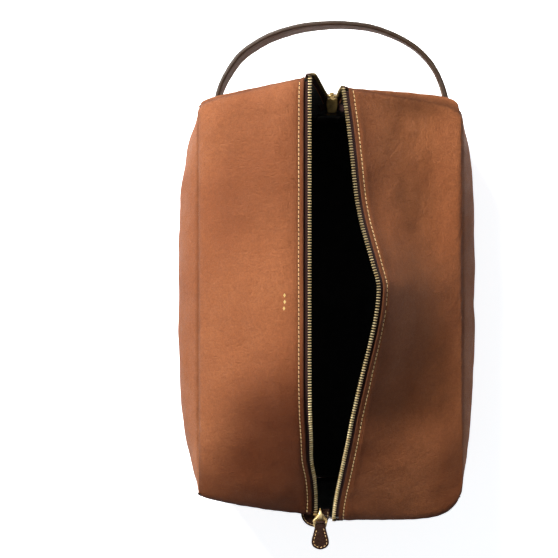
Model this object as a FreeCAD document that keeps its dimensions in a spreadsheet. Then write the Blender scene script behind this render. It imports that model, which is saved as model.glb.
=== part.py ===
import FreeCAD, Part

import math
import os

# Golf shoe bag: a soft leather box that opens along a full-length two-way zip on its top.
# Row frame: origin at the centre of the flat bottom, +Y toward the handle end, +Z up, millimetres.
# It is modelled with the zip open: the two top panels stand up from the side seams, and the
# front slider is at the front end. Sliding it to the rear lays both top panels down.

V = FreeCAD.Vector
doc = FreeCAD.newDocument("golf_shoe_bag")

# ---------------------------------------------------------------- driving dimensions
sheet = doc.addObject("Spreadsheet::Sheet", "dims")
DIMS = [
    ("seam_left_x", -125.3, "hinge line of the left top panel"),
    ("seam_right_x", 122.1, "hinge line of the right top panel"),
    ("seam_top_z", 104.0, "height of both side seams"),
    ("body_half_y", 186.0, "corner seams, front and rear"),
    ("base_length", 368.0, "bottom panel along Y"),
    ("base_width", 246.0, "bottom panel along X"),
    ("base_radius", 27.0, "corner radius of the bottom panel"),
    ("leather_thick", 2.2, "panel leather"),
    ("lining_thick", 0.8, "lining cloth"),
    ("board_thick", 2.0, "stiffener board"),
    ("bottom_thick", 2.4, "bottom leather"),
    ("side_bulge_left", 21.0, "outward swell of the left side"),
    ("side_bulge_right", 15.0, "outward swell of the right side"),
    ("front_bulge", 13.0, "outward swell of the front end"),
    ("rear_bulge", -5.0, "the rear end caves in by this at its middle"),
    ("piping_dia", 5.0, "piping along the side seams"),
    ("corner_dia", 4.4, "piping in the corner seams"),
    ("flap_half_y", 182.0, "top panels along Y, from the centre"),
    ("leather_setback", 10.0, "leather edge back from the zip's teeth"),
    ("tape_width", 20.0, "zip tape showing and sewn, each side"),
    ("tooth_length", 4.0, "tooth across the zip"),
    ("tooth_width", 1.3, "tooth along the zip"),
    ("tooth_height", 3.0, "tooth across its thickness"),
    ("tooth_pitch", 2.5, "pitch of the teeth"),
    ("row_start_y", -156.0, "first tooth that stays on the top panel"),
    ("row_stop_y", 36.0, "last tooth that stays on the top panel"),
    ("slider_width", 13.0, "slider body across"),
    ("slider_length", 15.0, "slider body along"),
    ("slider_plate", 1.6, "thickness of each slider plate"),
    ("slider_gap", 4.3, "gap between the slider plates"),
    ("wire", 1.5, "stirrup link's wire"),
    ("link_width", 13.6, "stirrup link across"),
    ("link_length", 7.5, "stirrup link along"),
    ("tab_thick", 2.8, "folded leather pull tab"),
    ("tab_length", 23.7, "pull tab beyond the link"),
    ("tab_width", 16.6, "pull tab at its widest"),
    ("strap_width", 22.0, "handle strap, upright"),
    ("strap_layer", 1.4, "each of the strap's three layers"),
    ("strap_gap", 0.1, "glue line between the layers"),
    ("handle_axis_y", 200.2, "line the handle swings about"),
    ("handle_axis_z", 85.0, "height of that line"),
    ("front_slider_x", -11.5, "front slider's middle"),
    ("front_slider_y", -207.5, "front slider's middle"),
    ("front_slider_z", 104.4, "underside of the front slider"),
    ("rear_slider_x", -0.2, "rear slider's middle"),
    ("rear_slider_y", 184.7, "rear slider's middle"),
    ("rear_slider_z", 103.5, "height of the rear slider's middle"),
    ("rear_slider_tilt", 33.0, "degrees from flat, outer face turned down and out"),
    ("link_start", -6.5, "near side of a link behind its slider's middle"),
    ("wire_height", 2.5, "link's wire above the slider's top plate"),
    ("eye_radius", 2.1, "fold of a pull tab round its link"),
    ("row_stop_right_y", 176.0, "rear end of the right top panel"),
    ("patch_width", 27.2, "leather patch over the zip's front end"),
    ("patch_reach", 25.4, "that patch along Y"),
    ("patch_thick", 2.0, "that patch's leather"),
]
D = {}
sheet.set("A1", "name")
sheet.set("B1", "value")
for i, (name, value, words) in enumerate(DIMS, start=2):
    sheet.set("A%d" % i, name)
    sheet.set("B%d" % i, "%.4f" % value)
    sheet.set("C%d" % i, words)
    sheet.setAlias("B%d" % i, name)
    D[name] = value
doc.recompute()
for name in D:
    D[name] = float(sheet.get(name))

PARTS = []


def keep(obj, name):
    """Names a finished sub-part: its Label is its file name."""
    obj.Label = name
    PARTS.append(obj)
    return obj


# ---------------------------------------------------------------- helpers
def plane(body, role):
    for f in body.Origin.OriginFeatures:
        if f.Role == role:
            return f
    raise ValueError(role)


def sketch_on(body, name, role="XY_Plane", lift=0.0, lift_expr=None):
    s = body.newObject("Sketcher::SketchObject", name)
    s.AttachmentSupport = [(plane(body, role), "")]
    s.MapMode = "FlatFace"
    s.AttachmentOffset = FreeCAD.Placement(V(0, 0, lift), FreeCAD.Rotation())
    if lift_expr:
        s.setExpression("AttachmentOffset.Base.z", lift_expr)
    return s


def centred_rectangle(s, w_expr, l_expr, w, l, cx=0.0, cy=0.0):
    """A rectangle whose sides are driven by the sheet."""
    import Sketcher

    a, b, c, d = (
        V(cx - w / 2, cy - l / 2, 0),
        V(cx + w / 2, cy - l / 2, 0),
        V(cx + w / 2, cy + l / 2, 0),
        V(cx - w / 2, cy + l / 2, 0),
    )
    n = s.GeometryCount
    for p, q in ((a, b), (b, c), (c, d), (d, a)):
        s.addGeometry(Part.LineSegment(p, q), False)
    for i in range(4):
        s.addConstraint(Sketcher.Constraint("Coincident", n + i, 2, n + (i + 1) % 4, 1))
    s.addConstraint(Sketcher.Constraint("Horizontal", n))
    s.addConstraint(Sketcher.Constraint("Horizontal", n + 2))
    s.addConstraint(Sketcher.Constraint("Vertical", n + 1))
    s.addConstraint(Sketcher.Constraint("Vertical", n + 3))
    k = s.addConstraint(Sketcher.Constraint("DistanceX", n, 1, n, 2, w))
    s.setExpression("Constraints[%d]" % k, w_expr)
    k = s.addConstraint(Sketcher.Constraint("DistanceY", n + 1, 1, n + 1, 2, l))
    s.setExpression("Constraints[%d]" % k, l_expr)
    # the middle stays where it is
    k = s.addConstraint(Sketcher.Constraint("DistanceX", -1, 1, n, 1, cx - w / 2))
    s.setExpression("Constraints[%d]" % k, "%.4f - (%s) / 2" % (cx, w_expr))
    k = s.addConstraint(Sketcher.Constraint("DistanceY", -1, 1, n, 1, cy - l / 2))
    s.setExpression("Constraints[%d]" % k, "%.4f - (%s) / 2" % (cy, l_expr))


def pad(body, s, expr, name):
    f = body.newObject("PartDesign::Pad", name)
    f.Profile = s
    f.setExpression("Length", expr)
    s.Visibility = False
    return f


def rounded_slab(name, w, l, r, t, z):
    """A sheet with rounded corners, as a body: sketch, pad, fillet."""
    body = doc.addObject("PartDesign::Body", name)
    s = sketch_on(body, name + "_outline")
    centred_rectangle(
        s, w, l, float(sheet_value(w)), float(sheet_value(l))
    )
    p = pad(body, s, t, name + "_pad")
    doc.recompute()
    upright = [
        "Edge%d" % (i + 1)
        for i, e in enumerate(p.Shape.Edges)
        if abs(e.Vertexes[0].Z - e.Vertexes[-1].Z) > 1e-3
    ]
    f = body.newObject("PartDesign::Fillet", name + "_corners")
    f.Base = (p, upright)
    f.setExpression("Radius", r)
    body.Tip = f
    body.Placement = FreeCAD.Placement(V(-1.6, 0, z), FreeCAD.Rotation())
    return keep(body, name)


def sheet_value(expr):
    """Value of a simple expression in sheet aliases."""
    text = expr.replace("dims.", "")
    total, sign = 0.0, 1.0
    for word in text.replace("-", " - ").replace("+", " + ").split():
        if word == "-":
            sign = -1.0
        elif word == "+":
            sign = 1.0
        else:
            total += sign * (D[word] if word in D else float(word))
    return total


def section(name, pts):
    p = doc.addObject("Part::Polygon", name)
    p.Nodes = pts
    p.Close = True
    p.Visibility = False
    return p


def loft(name, sections):
    """A soft panel: straight-ruled skin through closed outlines."""
    secs = [section("%s_s%d" % (name, i), pts) for i, pts in enumerate(sections)]
    f = doc.addObject("Part::Loft", name)
    f.Sections = secs
    f.Solid = True
    f.Ruled = True
    f.Closed = False
    return f


def cut(name, base, tools):
    """base less the tools, one Part::Cut after another."""
    for i, tool in enumerate(tools):
        c = doc.addObject("Part::Cut", "%s_cut%d" % (name, i))
        c.Base = base
        c.Tool = tool
        base = c
    return base


def box(name, lo, hi):
    b = doc.addObject("Part::Box", name)
    b.Length, b.Width, b.Height = hi[0] - lo[0], hi[1] - lo[1], hi[2] - lo[2]
    b.Placement = FreeCAD.Placement(V(*lo), FreeCAD.Rotation())
    return b


def lerp(table, t):
    """Value at t of a table of (t, value...), straight between its rows."""
    if t <= table[0][0]:
        return table[0][1:]
    for a, b in zip(table, table[1:]):
        if t <= b[0]:
            k = (t - a[0]) / (b[0] - a[0])
            return tuple(x + k * (y - x) for x, y in zip(a[1:], b[1:]))
    return table[-1][1:]


LT, LN = D["leather_thick"], D["lining_thick"]
XL, XR, ZT = D["seam_left_x"], D["seam_right_x"], D["seam_top_z"]
HY = D["body_half_y"]

# ---------------------------------------------------------------- bottom
rounded_slab("bottom_panel", "dims.base_width", "dims.base_length", "dims.base_radius", "dims.bottom_thick", 0.0)
rounded_slab("bottom_board", "dims.base_width - 10.5", "dims.base_length - 9", "dims.base_radius - 4", "dims.board_thick", D["bottom_thick"])
rounded_slab("bottom_lining", "dims.base_width - 13", "dims.base_length - 12", "dims.base_radius - 5", "dims.lining_thick", D["bottom_thick"] + D["board_thick"])

# ---------------------------------------------------------------- side panels
# (height, bottom-to-top drift of the seam line, share of the swell)
PROFILE = [
    (2.5, 0.0, 0.0),
    (12.0, 0.3, 0.42),
    (28.0, 0.9, 0.85),
    (50.0, 1.7, 1.0),
    (72.0, 2.4, 0.80),
    (90.0, 3.0, 0.36),
    (101.2, 3.2, 0.0),
]
ALONG = [
    (-181.2, 0.04),
    (-165.0, 0.34),
    (-130.0, 0.72),
    (-80.0, 0.93),
    (0.0, 1.0),
    (80.0, 0.95),
    (130.0, 0.76),
    (165.0, 0.38),
    (181.2, 0.05),
]


def side_sections(side, bulge, inset, thick, z0, z1, y_trim):
    """Outlines across Y of an upright skin that swells outward. side is -1 left, +1 right."""
    foot = abs((XL if side < 0 else XR)) - 3.2
    out = []
    heights = [p for p in PROFILE if z0 < p[0] < z1]
    rows = [(z0, *lerp(PROFILE, z0))] + heights + [(z1, *lerp(PROFILE, z1))]
    for y, share in ALONG:
        y = max(-y_trim, min(y_trim, y))
        outer = [side * (foot + d - inset + bulge * share * b) for (_, d, b) in rows]
        pts = [V(x, y, r[0]) for x, r in zip(outer, rows)]
        pts += [V(x - side * thick, y, r[0]) for x, r in reversed(list(zip(outer, rows)))]
        out.append(pts)
    return out


for side, word, bulge in ((-1, "left", D["side_bulge_left"]), (1, "right", D["side_bulge_right"])):
    keep(loft("side_panel_" + word, side_sections(side, bulge, 0.0, LT, 2.5, 101.2, 181.2)), "side_panel_" + word)
    keep(loft("side_lining_" + word, side_sections(side, bulge, LT + 0.15, LN, 6.0, 98.5, 180.2)), "side_lining_" + word)

# ---------------------------------------------------------------- end panels
ACROSS = [-1.0, -0.8, -0.5, -0.2, 0.0, 0.2, 0.5, 0.8, 1.0]


def end_sections(end, bulge, inset, thick, z0, z1, trim):
    """Outlines across X of an upright end skin, bowed outward in plan. end is -1 front, +1 rear."""
    mid, half = (XL + XR) / 2, (XR - XL) / 2 - 4.6 - trim
    rows = [(z0, 0.45), (35.0, 0.75), (70.0, 0.95), (z1, 1.0)]
    out = []
    for s in ACROSS:
        x = mid + half * s
        bow = bulge * (1 - s * s)
        outer = [end * (HY - inset + bow * share) for _, share in rows]
        pts = [V(x, y, r[0]) for y, r in zip(outer, rows)]
        pts += [V(x, y - end * thick, r[0]) for y, r in reversed(list(zip(outer, rows)))]
        out.append(pts)
    return out


keep(loft("end_panel_front", end_sections(-1, D["front_bulge"], 0.0, LT, 2.5, 101.2, 0.0)), "end_panel_front")
keep(loft("end_lining_front", end_sections(-1, D["front_bulge"], LT + 0.15, LN, 6.0, 98.5, 2.0)), "end_lining_front")

# the rear end is slit for the zip, and pierced near its corners for the handle's ends
rear_skin = loft("rear_skin", end_sections(1, D["rear_bulge"], 0.0, LT, 2.5, 101.2, 0.0))
rear_cloth = loft("rear_cloth", end_sections(1, D["rear_bulge"], LT + 0.15, LN, 6.0, 98.5, 2.0))
rx = D["rear_slider_x"]


def slit(name):
    lo = [V(rx - 7.6, 165, 90), V(rx + 7.6, 165, 90), V(rx + 14.0, 165, 120), V(rx - 19.0, 165, 120)]
    hi = [V(p.x, 200, p.z) for p in lo]
    return loft(name, [lo, hi])


tz0, tz1 = D["handle_axis_z"] - 11.6, D["handle_axis_z"] + 11.6
end_rear = cut(
    "end_rear",
    rear_skin,
    [
        slit("slit_leather"),
        box("slot_left", (XL + 2.0, 178, tz0), (XL + 18.0, 200, tz1)),
        box("slot_right", (XR - 18.0, 178, tz0), (XR - 2.0, 200, tz1)),
    ],
)
keep(end_rear, "end_panel_rear")
keep(cut("end_lining", rear_cloth, [slit("slit_cloth")]), "end_lining_rear")

# ---------------------------------------------------------------- seams
for x, word in ((XL, "left"), (XR, "right")):
    c = doc.addObject("Part::Cylinder", "top_piping_" + word)
    c.setExpression("Radius", "dims.piping_dia / 2")
    c.setExpression("Height", "dims.flap_half_y * 2")
    c.Placement = FreeCAD.Placement(V(x, -D["flap_half_y"], ZT), FreeCAD.Rotation(V(1, 0, 0), -90))
    keep(c, "top_piping_" + word)

for end, word in ((-1, "front"), (1, "rear")):
    pieces = []
    for x, tag in ((XL + 1.7, "l"), (XR - 1.7, "r")):
        c = doc.addObject("Part::Cylinder", "corner_%s_%s" % (word, tag))
        c.setExpression("Radius", "dims.corner_dia / 2")
        top = 101.0 if end < 0 else tz0 - 0.4
        c.Height = top - 2.6
        c.Placement = FreeCAD.Placement(V(x, end * (HY - 2.0), 2.6), FreeCAD.Rotation())
        pieces.append(c)
    m = doc.addObject("Part::Compound", "corners_" + word)
    m.Links = pieces
    keep(m, "corner_piping_" + word)

# ---------------------------------------------------------------- top panels
# (y, x, z) of the inner ends of the teeth, and how far the panel bows above its chord
EDGE = {
    -1: [
        (-182.0, -14.2, 117.0, 15.0),
        (-166.0, -15.6, 126.0, 12.0),
        (-146.0, -19.0, 139.0, 9.0),
        (-126.0, -19.4, 151.0, 7.5),
        (-88.0, -20.7, 168.5, 6.0),
        (-50.0, -20.9, 170.0, 6.0),
        (0.0, -20.9, 170.0, 6.0),
        (90.0, -20.9, 170.0, 6.0),
        (182.0, -20.9, 170.0, 5.0),
    ],
    1: [
        (-182.0, 1.2, 118.0, 4.0),
        (-166.0, 4.5, 130.0, 4.0),
        (-146.0, 8.3, 140.0, 4.0),
        (-126.0, 11.0, 150.0, 4.0),
        (-88.0, 18.6, 165.0, 4.0),
        (-52.0, 26.8, 178.0, 3.0),
        (-16.0, 34.0, 187.0, 3.0),
        (14.0, 37.4, 190.0, 3.0),
        (50.0, 27.6, 180.0, 3.0),
        (90.0, 19.4, 168.0, 4.0),
        (126.0, 15.8, 164.0, 4.0),
        (160.0, 11.6, 157.0, 4.0),
        (182.0, 7.6, 151.0, 4.0),
    ],
}


def on_panel(side, y, u, n):
    """Point of a top panel's section: u along its chord from the side seam (negative: back from the teeth's ends), n off it."""
    x, z, bow = lerp(EDGE[side], y)
    hx = XL if side < 0 else XR
    chord = math.hypot(x - hx, z - ZT)
    cx, cz = (x - hx) / chord, (z - ZT) / chord
    nx, nz = (-cz, cx) if side < 0 else (cz, -cx)
    if u < 0:
        u = chord + u
    k = u / chord
    n = n + bow * math.sin(math.pi * min(1.0, k / 0.93)) * (1.0 if k < 0.93 else 0.0)
    return V(hx + cx * u + nx * n, y, ZT + cz * u + nz * n)


def panel_stations(side, y0, y1):
    ys = [y0] + [r[0] for r in EDGE[side] if y0 + 1 < r[0] < y1 - 1] + [y1]
    return ys


def panel_skin(name, side, y0, y1, us, n0, n1):
    secs = []
    for y in panel_stations(side, y0, y1):
        lower = [on_panel(side, y, u, n0) for u in us]
        upper = [on_panel(side, y, u, n1) for u in reversed(us)]
        secs.append(lower + upper)
    return keep(loft(name, secs), name)


SET, TW, TL = D["leather_setback"], D["tape_width"], D["tooth_length"]
FY = D["flap_half_y"]
Y0, Y1 = D["row_start_y"], D["row_stop_y"]
TEETH = {}
for side, word in ((-1, "left"), (1, "right")):
    F1 = FY if side < 0 else D["row_stop_right_y"]
    panel_skin("top_panel_" + word, side, -FY, F1, [3.0, 22.0, 46.0, -48.0, -(TL + TW), -SET], 0.0, LT)
    panel_skin("top_lining_" + word, side, -FY, F1, [3.4, 22.0, 46.0, -48.0, -(TL + TW) - 0.3], -LN - 0.3, -0.3)
    panel_skin("zip_tape_" + word, side, Y0, Y1, [-(TL + TW), -SET, -TL], -1.3, -0.3)
    # teeth: separate brass pieces clamped on the tape's edge, offset half a pitch between sides
    teeth = []
    count = int((Y1 - Y0) / D["tooth_pitch"]) - 1
    for i in range(count):
        y = Y0 + D["tooth_pitch"] * (i + (0.75 if side < 0 else 1.25))
        a = on_panel(side, y, -TL + 0.2, -0.8)
        b = on_panel(side, y, -0.02, -0.8)
        d = b - a
        ang = math.degrees(math.atan2(d.z, d.x))
        t = Part.makeBox(TL - 0.22, D["tooth_width"], D["tooth_height"], V(0, -D["tooth_width"] / 2, -D["tooth_height"] / 2))
        t.Placement = FreeCAD.Placement(a, FreeCAD.Rotation(V(0, 1, 0), -ang))
        teeth.append(t)
    f = doc.addObject("Part::Feature", "zip_teeth_" + word)
    f.Shape = Part.makeCompound(teeth)
    TEETH[side] = len(teeth)
    keep(f, "zip_teeth_" + word)

    # the zip's run-in from the panel to the front slider, which bends as the slider moves
    fx, fy, fz = D["front_slider_x"], D["front_slider_y"], D["front_slider_z"]

    def bar(y, cx, cz, w=5.6, h=2.6):
        return [V(cx - w / 2, y, cz - h / 2), V(cx + w / 2, y, cz - h / 2), V(cx + w / 2, y, cz + h / 2), V(cx - w / 2, y, cz + h / 2)]

    mouth = fy + D["slider_length"] / 2 + 0.4
    stations = []
    for y in (Y0 - 0.4, -166.0, -175.0):
        p = on_panel(side, y, -3.2, -0.65)
        stations.append(bar(y, p.x, p.z))
    stations.append(bar(mouth, fx + side * 3.4, fz + 3.9))
    keep(loft("zip_runin_front_" + word, stations), "zip_runin_front_" + word)

    # along the panel's rear part, over the rear edge and down to the rear slider
    rear = []
    for y in (Y1 + 0.4, 60.0, 90.0, 126.0, 160.0, 182.0):
        p = on_panel(side, y, -3.2, -0.65)
        rear.append(bar(y, p.x, p.z))
    p = on_panel(side, 182.0, -3.2, -0.65)
    rear.append(bar(186.0, p.x, p.z))
    top_run = loft("zip_runin_top_" + word, rear)

    def level(z, cx, yc, w=5.4, d=2.6):
        return [V(cx - w / 2, yc - d / 2, z), V(cx + w / 2, yc - d / 2, z), V(cx + w / 2, yc + d / 2, z), V(cx - w / 2, yc + d / 2, z)]

    zhigh, zlow = p.z + 1.3, D["rear_slider_z"] + 6.2
    down_run = loft(
        "zip_runin_down_" + word,
        [
            level(zhigh, p.x, 188.0),
            level((zhigh + zlow) / 2, (p.x + rx + side * 3.2) / 2, 190.8),
            level(zlow, rx + side * 3.2, 193.4),
        ],
    )
    m = doc.addObject("Part::Compound", "runin_rear_" + word)
    m.Links = [top_run, down_run]
    keep(m, "zip_runin_rear_" + word)

# ---------------------------------------------------------------- sliders, links, pull tabs
def slider(name, place):
    """Zip slider. Its own frame: x across, y toward the mouth, z out of the zip; origin under its middle."""
    b = doc.addObject("PartDesign::Body", name)
    import Sketcher

    def outline(tag, lift_expr, lift, w, l, thick, cy=0.0, taper=0.0):
        s = sketch_on(b, name + tag, "XY_Plane", lift, lift_expr)
        hw, hl = w / 2, l / 2
        pts = [V(-hw + taper, cy - hl, 0), V(hw - taper, cy - hl, 0), V(hw, cy - hl * 0.2, 0), V(hw, cy + hl * 0.62, 0), V(hw * 0.45, cy + hl, 0), V(-hw * 0.45, cy + hl, 0), V(-hw, cy + hl * 0.62, 0), V(-hw, cy - hl * 0.2, 0)]
        for i in range(len(pts)):
            s.addGeometry(Part.LineSegment(pts[i], pts[(i + 1) % len(pts)]), False)
        for i in range(len(pts)):
            s.addConstraint(Sketcher.Constraint("Coincident", i, 2, (i + 1) % len(pts), 1))
        for i in range(len(pts)):
            s.addConstraint(Sketcher.Constraint("Block", i))
        return pad(b, s, thick, name + tag + "_pad")

    w, l = D["slider_width"], D["slider_length"]
    outline("_lower", "0", 0.0, w, l, "dims.slider_plate", taper=2.4)
    # the wedge that parts the two rows, between the plates
    s = sketch_on(b, name + "_wedge", "XY_Plane", 1.0, "dims.slider_plate - 0.2")
    pts = [V(0, -2.2, 0), V(2.0, 3.4, 0), V(1.5, l / 2 - 0.6, 0), V(-1.5, l / 2 - 0.6, 0), V(-2.0, 3.4, 0)]
    for i in range(5):
        s.addGeometry(Part.LineSegment(pts[i], pts[(i + 1) % 5]), False)
        s.addConstraint(Sketcher.Constraint("Block", i))
    pad(b, s, "dims.slider_gap + 0.4", name + "_wedge_pad")
    outline("_upper", "dims.slider_plate + dims.slider_gap", 6.0, w, l, "dims.slider_plate", taper=2.4)
    # bridge over the top plate, open underneath for the link
    zt = 2 * D["slider_plate"] + D["slider_gap"]
    s = sketch_on(b, name + "_bridge", "YZ_Plane", -1.5)
    arc = [
        V(7.1, zt - 0.3, 0), V(7.45, zt - 0.3, 0), V(13.5, zt + 0.8, 0), V(13.2, zt + 2.2, 0),
        V(8.6, zt + 4.6, 0), V(7.4, zt + 5.0, 0), V(4.2, zt + 5.0, 0), V(3.2, zt + 4.2, 0),
        V(3.0, zt - 0.3, 0), V(4.3, zt - 0.3, 0), V(4.3, zt + 3.6, 0), V(7.1, zt + 3.6, 0),
    ]
    for i in range(len(arc)):
        s.addGeometry(Part.LineSegment(arc[i], arc[(i + 1) % len(arc)]), False)
        s.addConstraint(Sketcher.Constraint("Block", i))
    pad(b, s, "dims.wire * 2", name + "_bridge_pad")
    doc.recompute()
    b.Placement = place
    return keep(b, name)


ZW = 2 * D["slider_plate"] + D["slider_gap"] + D["wire_height"]  # height of the link's wire above the slider's underside


def link(name, place):
    """Rectangular wire stirrup; its near bar passes under the slider's bridge."""
    b = doc.addObject("PartDesign::Body", name)
    w, l, t = D["link_width"], D["link_length"], D["wire"]
    s = sketch_on(b, name + "_ring", "XY_Plane", ZW - t / 2)
    centred_rectangle(s, "dims.link_width", "dims.link_length", w, l, 0.0, -D["link_start"] - l / 2)
    centred_rectangle(s, "dims.link_width - 2 * dims.wire", "dims.link_length - 2 * dims.wire", w - 2 * t, l - 2 * t, 0.0, -D["link_start"] - l / 2)
    pad(b, s, "dims.wire", name + "_pad")
    b.Placement = place
    return keep(b, name)


def tab(name, place):
    """One strip of leather folded round the link's far bar and stitched to itself, cut to a teardrop."""
    l0 = -D["link_start"] - D["link_length"]  # outer face of the far bar
    bar_y = l0 + D["wire"] / 2
    th = D["tab_thick"]
    b = doc.addObject("PartDesign::Body", name + "_blade")
    s = sketch_on(b, name + "_outline", "XY_Plane", ZW - th / 2)
    hw = D["tab_width"] / 2
    y_wide = l0 - D["tab_length"] + hw
    p0, p1 = V(-4.95, l0 - 0.35, 0), V(4.95, l0 - 0.35, 0)
    p2, p3 = V(hw, y_wide, 0), V(-hw, y_wide, 0)
    s.addGeometry(Part.LineSegment(p0, p1), False)
    s.addGeometry(Part.LineSegment(p1, p2), False)
    s.addGeometry(Part.ArcOfCircle(Part.Circle(V(0, y_wide, 0), V(0, 0, 1), hw), math.pi, 2 * math.pi), False)
    s.addGeometry(Part.LineSegment(p3, p0), False)
    pad(b, s, "dims.tab_thick", name + "_blade_pad")
    b.Placement = place
    # the fold round the bar
    ring = []
    for tag, r in (("outer", D["eye_radius"]), ("inner", 1.2)):
        c = doc.addObject("Part::Cylinder", "%s_%s" % (name, tag))
        c.Radius = r
        c.Height = 9.9
        c.Placement = place * FreeCAD.Placement(V(-4.95, bar_y, ZW), FreeCAD.Rotation(V(0, 1, 0), 90))
        ring.append(c)
    blade = doc.addObject("Part::Fuse", name + "_whole")
    blade.Base = b
    blade.Tool = ring[0]
    done = doc.addObject("Part::Cut", name + "_eye")
    done.Base = blade
    done.Tool = ring[1]
    return keep(done, name)


front_place = FreeCAD.Placement(V(D["front_slider_x"], D["front_slider_y"], D["front_slider_z"]), FreeCAD.Rotation())
tilt = math.radians(D["rear_slider_tilt"])
ct, st = math.cos(tilt), math.sin(tilt)
half = D["slider_plate"] + D["slider_gap"] / 2
m = FreeCAD.Matrix(
    -1, 0, 0, D["rear_slider_x"],
    0, ct, st, D["rear_slider_y"] - half * st,
    0, st, -ct, D["rear_slider_z"] + half * ct,
    0, 0, 0, 1,
)
rear_place = FreeCAD.Placement(m)
# the rear link and tab hang straight down from the slider's bridge
hang = FreeCAD.Placement(V(0, -D["link_start"] - D["wire"] / 2, ZW), FreeCAD.Rotation(V(1, 0, 0), -(90.0 - D["rear_slider_tilt"])))
back = FreeCAD.Placement(V(0, D["link_start"] + D["wire"] / 2, -ZW), FreeCAD.Rotation())
for word, place, pull in (("front", front_place, front_place), ("rear", rear_place, rear_place * hang * back)):
    slider("slider_body_" + word, place)
    link("slider_link_" + word, pull)
    tab("pull_tab_" + word, pull)

# ---------------------------------------------------------------- zip ends
# brass stops across the tapes' tails, just past each slider
fx, fy = D["front_slider_x"], D["front_slider_y"]
pb = doc.addObject("PartDesign::Body", "zip_end_patch_front")
s = sketch_on(pb, "patch_outline")
pw, pr = D["patch_width"] / 2, D["patch_reach"]
q = [V(-pw, 0, 0), V(-pw, -(pr - pw * 0.9), 0), V(pw, -(pr - pw * 0.9), 0), V(pw, 0, 0)]
s.addGeometry(Part.LineSegment(q[3], q[0]), False)
s.addGeometry(Part.LineSegment(q[0], q[1]), False)
mid_arc = V(0, -pr, 0)
s.addGeometry(Part.Arc(q[1], mid_arc, q[2]), False)
s.addGeometry(Part.LineSegment(q[2], q[3]), False)
pad(pb, s, "dims.patch_thick", "patch_pad")
pb.Placement = FreeCAD.Placement(V(fx - 4.2, -188.0, 101.8), FreeCAD.Rotation())
keep(pb, "zip_end_patch_front")

keep(box("zip_tail_front", (fx - 6, -187.6, 102.3), (fx + 6, -183.2, 103.3)), "zip_tail_front")
keep(box("zip_stop_rear", (rx - 4.5, 174.9, 94.5), (rx + 4.5, 178.0, 97.4)), "zip_stop_rear")
keep(box("zip_tail_rear", (rx - 7.0, 176.9, 84.0), (rx + 7.0, 177.7, 94.45)), "zip_tail_rear")

# ---------------------------------------------------------------- handle
CENTRE = [
    (-109.6, 186.6),
    (-107.2, 195.5),
    (-98.8, 214.5),
    (-87.2, 230.7),
    (-68.0, 245.0),
    (-39.5, 256.5),
    (-10.9, 261.4),
    (12.9, 262.0),
    (36.8, 259.3),
    (65.4, 249.0),
    (84.4, 236.4),
    (98.4, 219.3),
    (106.0, 202.0),
    (109.4, 186.6),
]
line = Part.BSplineCurve()
line.interpolate([V(x, y, 0) for x, y in CENTRE])


def offset_curve(d):
    pts = []
    n = 30
    for i in range(n + 1):
        t = line.FirstParameter + (line.LastParameter - line.FirstParameter) * i / n
        p = line.value(t)
        g = line.tangent(t)[0]
        pts.append(V(p.x - g.y * d, p.y + g.x * d, 0))
    c = Part.BSplineCurve()
    c.interpolate(pts)
    return c


AY, AZ, SW = D["handle_axis_y"], D["handle_axis_z"], D["strap_width"]
for i, word in enumerate(("inner", "core", "outer")):
    t, g = D["strap_layer"], D["strap_gap"]
    lo = -1.5 * t - g + i * (t + g)
    b = doc.addObject("PartDesign::Body", "strap_%s_body" % word)
    s = sketch_on(b, "strap_%s_plan" % word)
    c0, c1 = offset_curve(lo), offset_curve(lo + t)
    s.addGeometry(c0, False)
    s.addGeometry(Part.LineSegment(c0.EndPoint, c1.EndPoint), False)
    s.addGeometry(c1, False)
    s.addGeometry(Part.LineSegment(c1.StartPoint, c0.StartPoint), False)
    pad(b, s, "dims.strap_width", "strap_%s_pad" % word)
    b.Placement = FreeCAD.Placement(V(0, 0, AZ - SW / 2), FreeCAD.Rotation())
    # round ends, so that the strap turns about its base clear of the bag
    stay = box("strap_%s_far" % word, (-140, AY, AZ - SW), (140, AY + 90, AZ + SW))
    nose = doc.addObject("Part::Cylinder", "strap_%s_nose" % word)
    nose.setExpression("Radius", "dims.strap_width / 2")
    nose.Height = 280
    nose.Placement = FreeCAD.Placement(V(-140, AY, AZ), FreeCAD.Rotation(V(0, 1, 0), 90))
    whole = doc.addObject("Part::Fuse", "strap_%s_room" % word)
    whole.Base = stay
    whole.Tool = nose
    k = doc.addObject("Part::Common", "strap_%s_cut" % word)
    k.Base = b
    k.Tool = whole
    keep(k, "handle_strap_" + word)

# the strap's ends, sewn into the corner seams
ends = []
for x, tag in ((XL + 13.4, "l"), (XR - 10.6, "r")):
    ends.append(box("tail_" + tag, (x - 2.3, 183.7, AZ - SW / 2), (x + 2.3, AY - SW / 2 - 0.5, AZ + SW / 2)))
m = doc.addObject("Part::Compound", "tails")
m.Links = ends
keep(m, "handle_end_tabs")

# ---------------------------------------------------------------- check and write
doc.recompute()
bad = []
for o in doc.Objects:
    if "Invalid" in o.State or "Error" in o.State:
        bad.append((o.Name, o.State))
for o in PARTS:
    if o.Shape.isNull() or not o.Shape.isValid() or not o.Shape.Solids:
        bad.append((o.Label, "shape"))
if bad:
    raise SystemExit("not built: %s" % bad)
os.makedirs("parts", exist_ok=True)
for old in os.listdir("parts"):
    if old.endswith(".step"):
        os.remove(os.path.join("parts", old))
for o in PARTS:
    o.Shape.exportStep("parts/%s.step" % o.Label)
    bb = o.Shape.BoundBox
    print("%-26s solids %3d  vol %10.1f  x %7.1f %7.1f  y %7.1f %7.1f  z %6.1f %6.1f" % (o.Label, len(o.Shape.Solids), o.Shape.Volume, bb.XMin, bb.XMax, bb.YMin, bb.YMax, bb.ZMin, bb.ZMax))
print("parts", len(PARTS))
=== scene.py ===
import math

import bpy
import numpy as np
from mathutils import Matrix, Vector, noise


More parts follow.
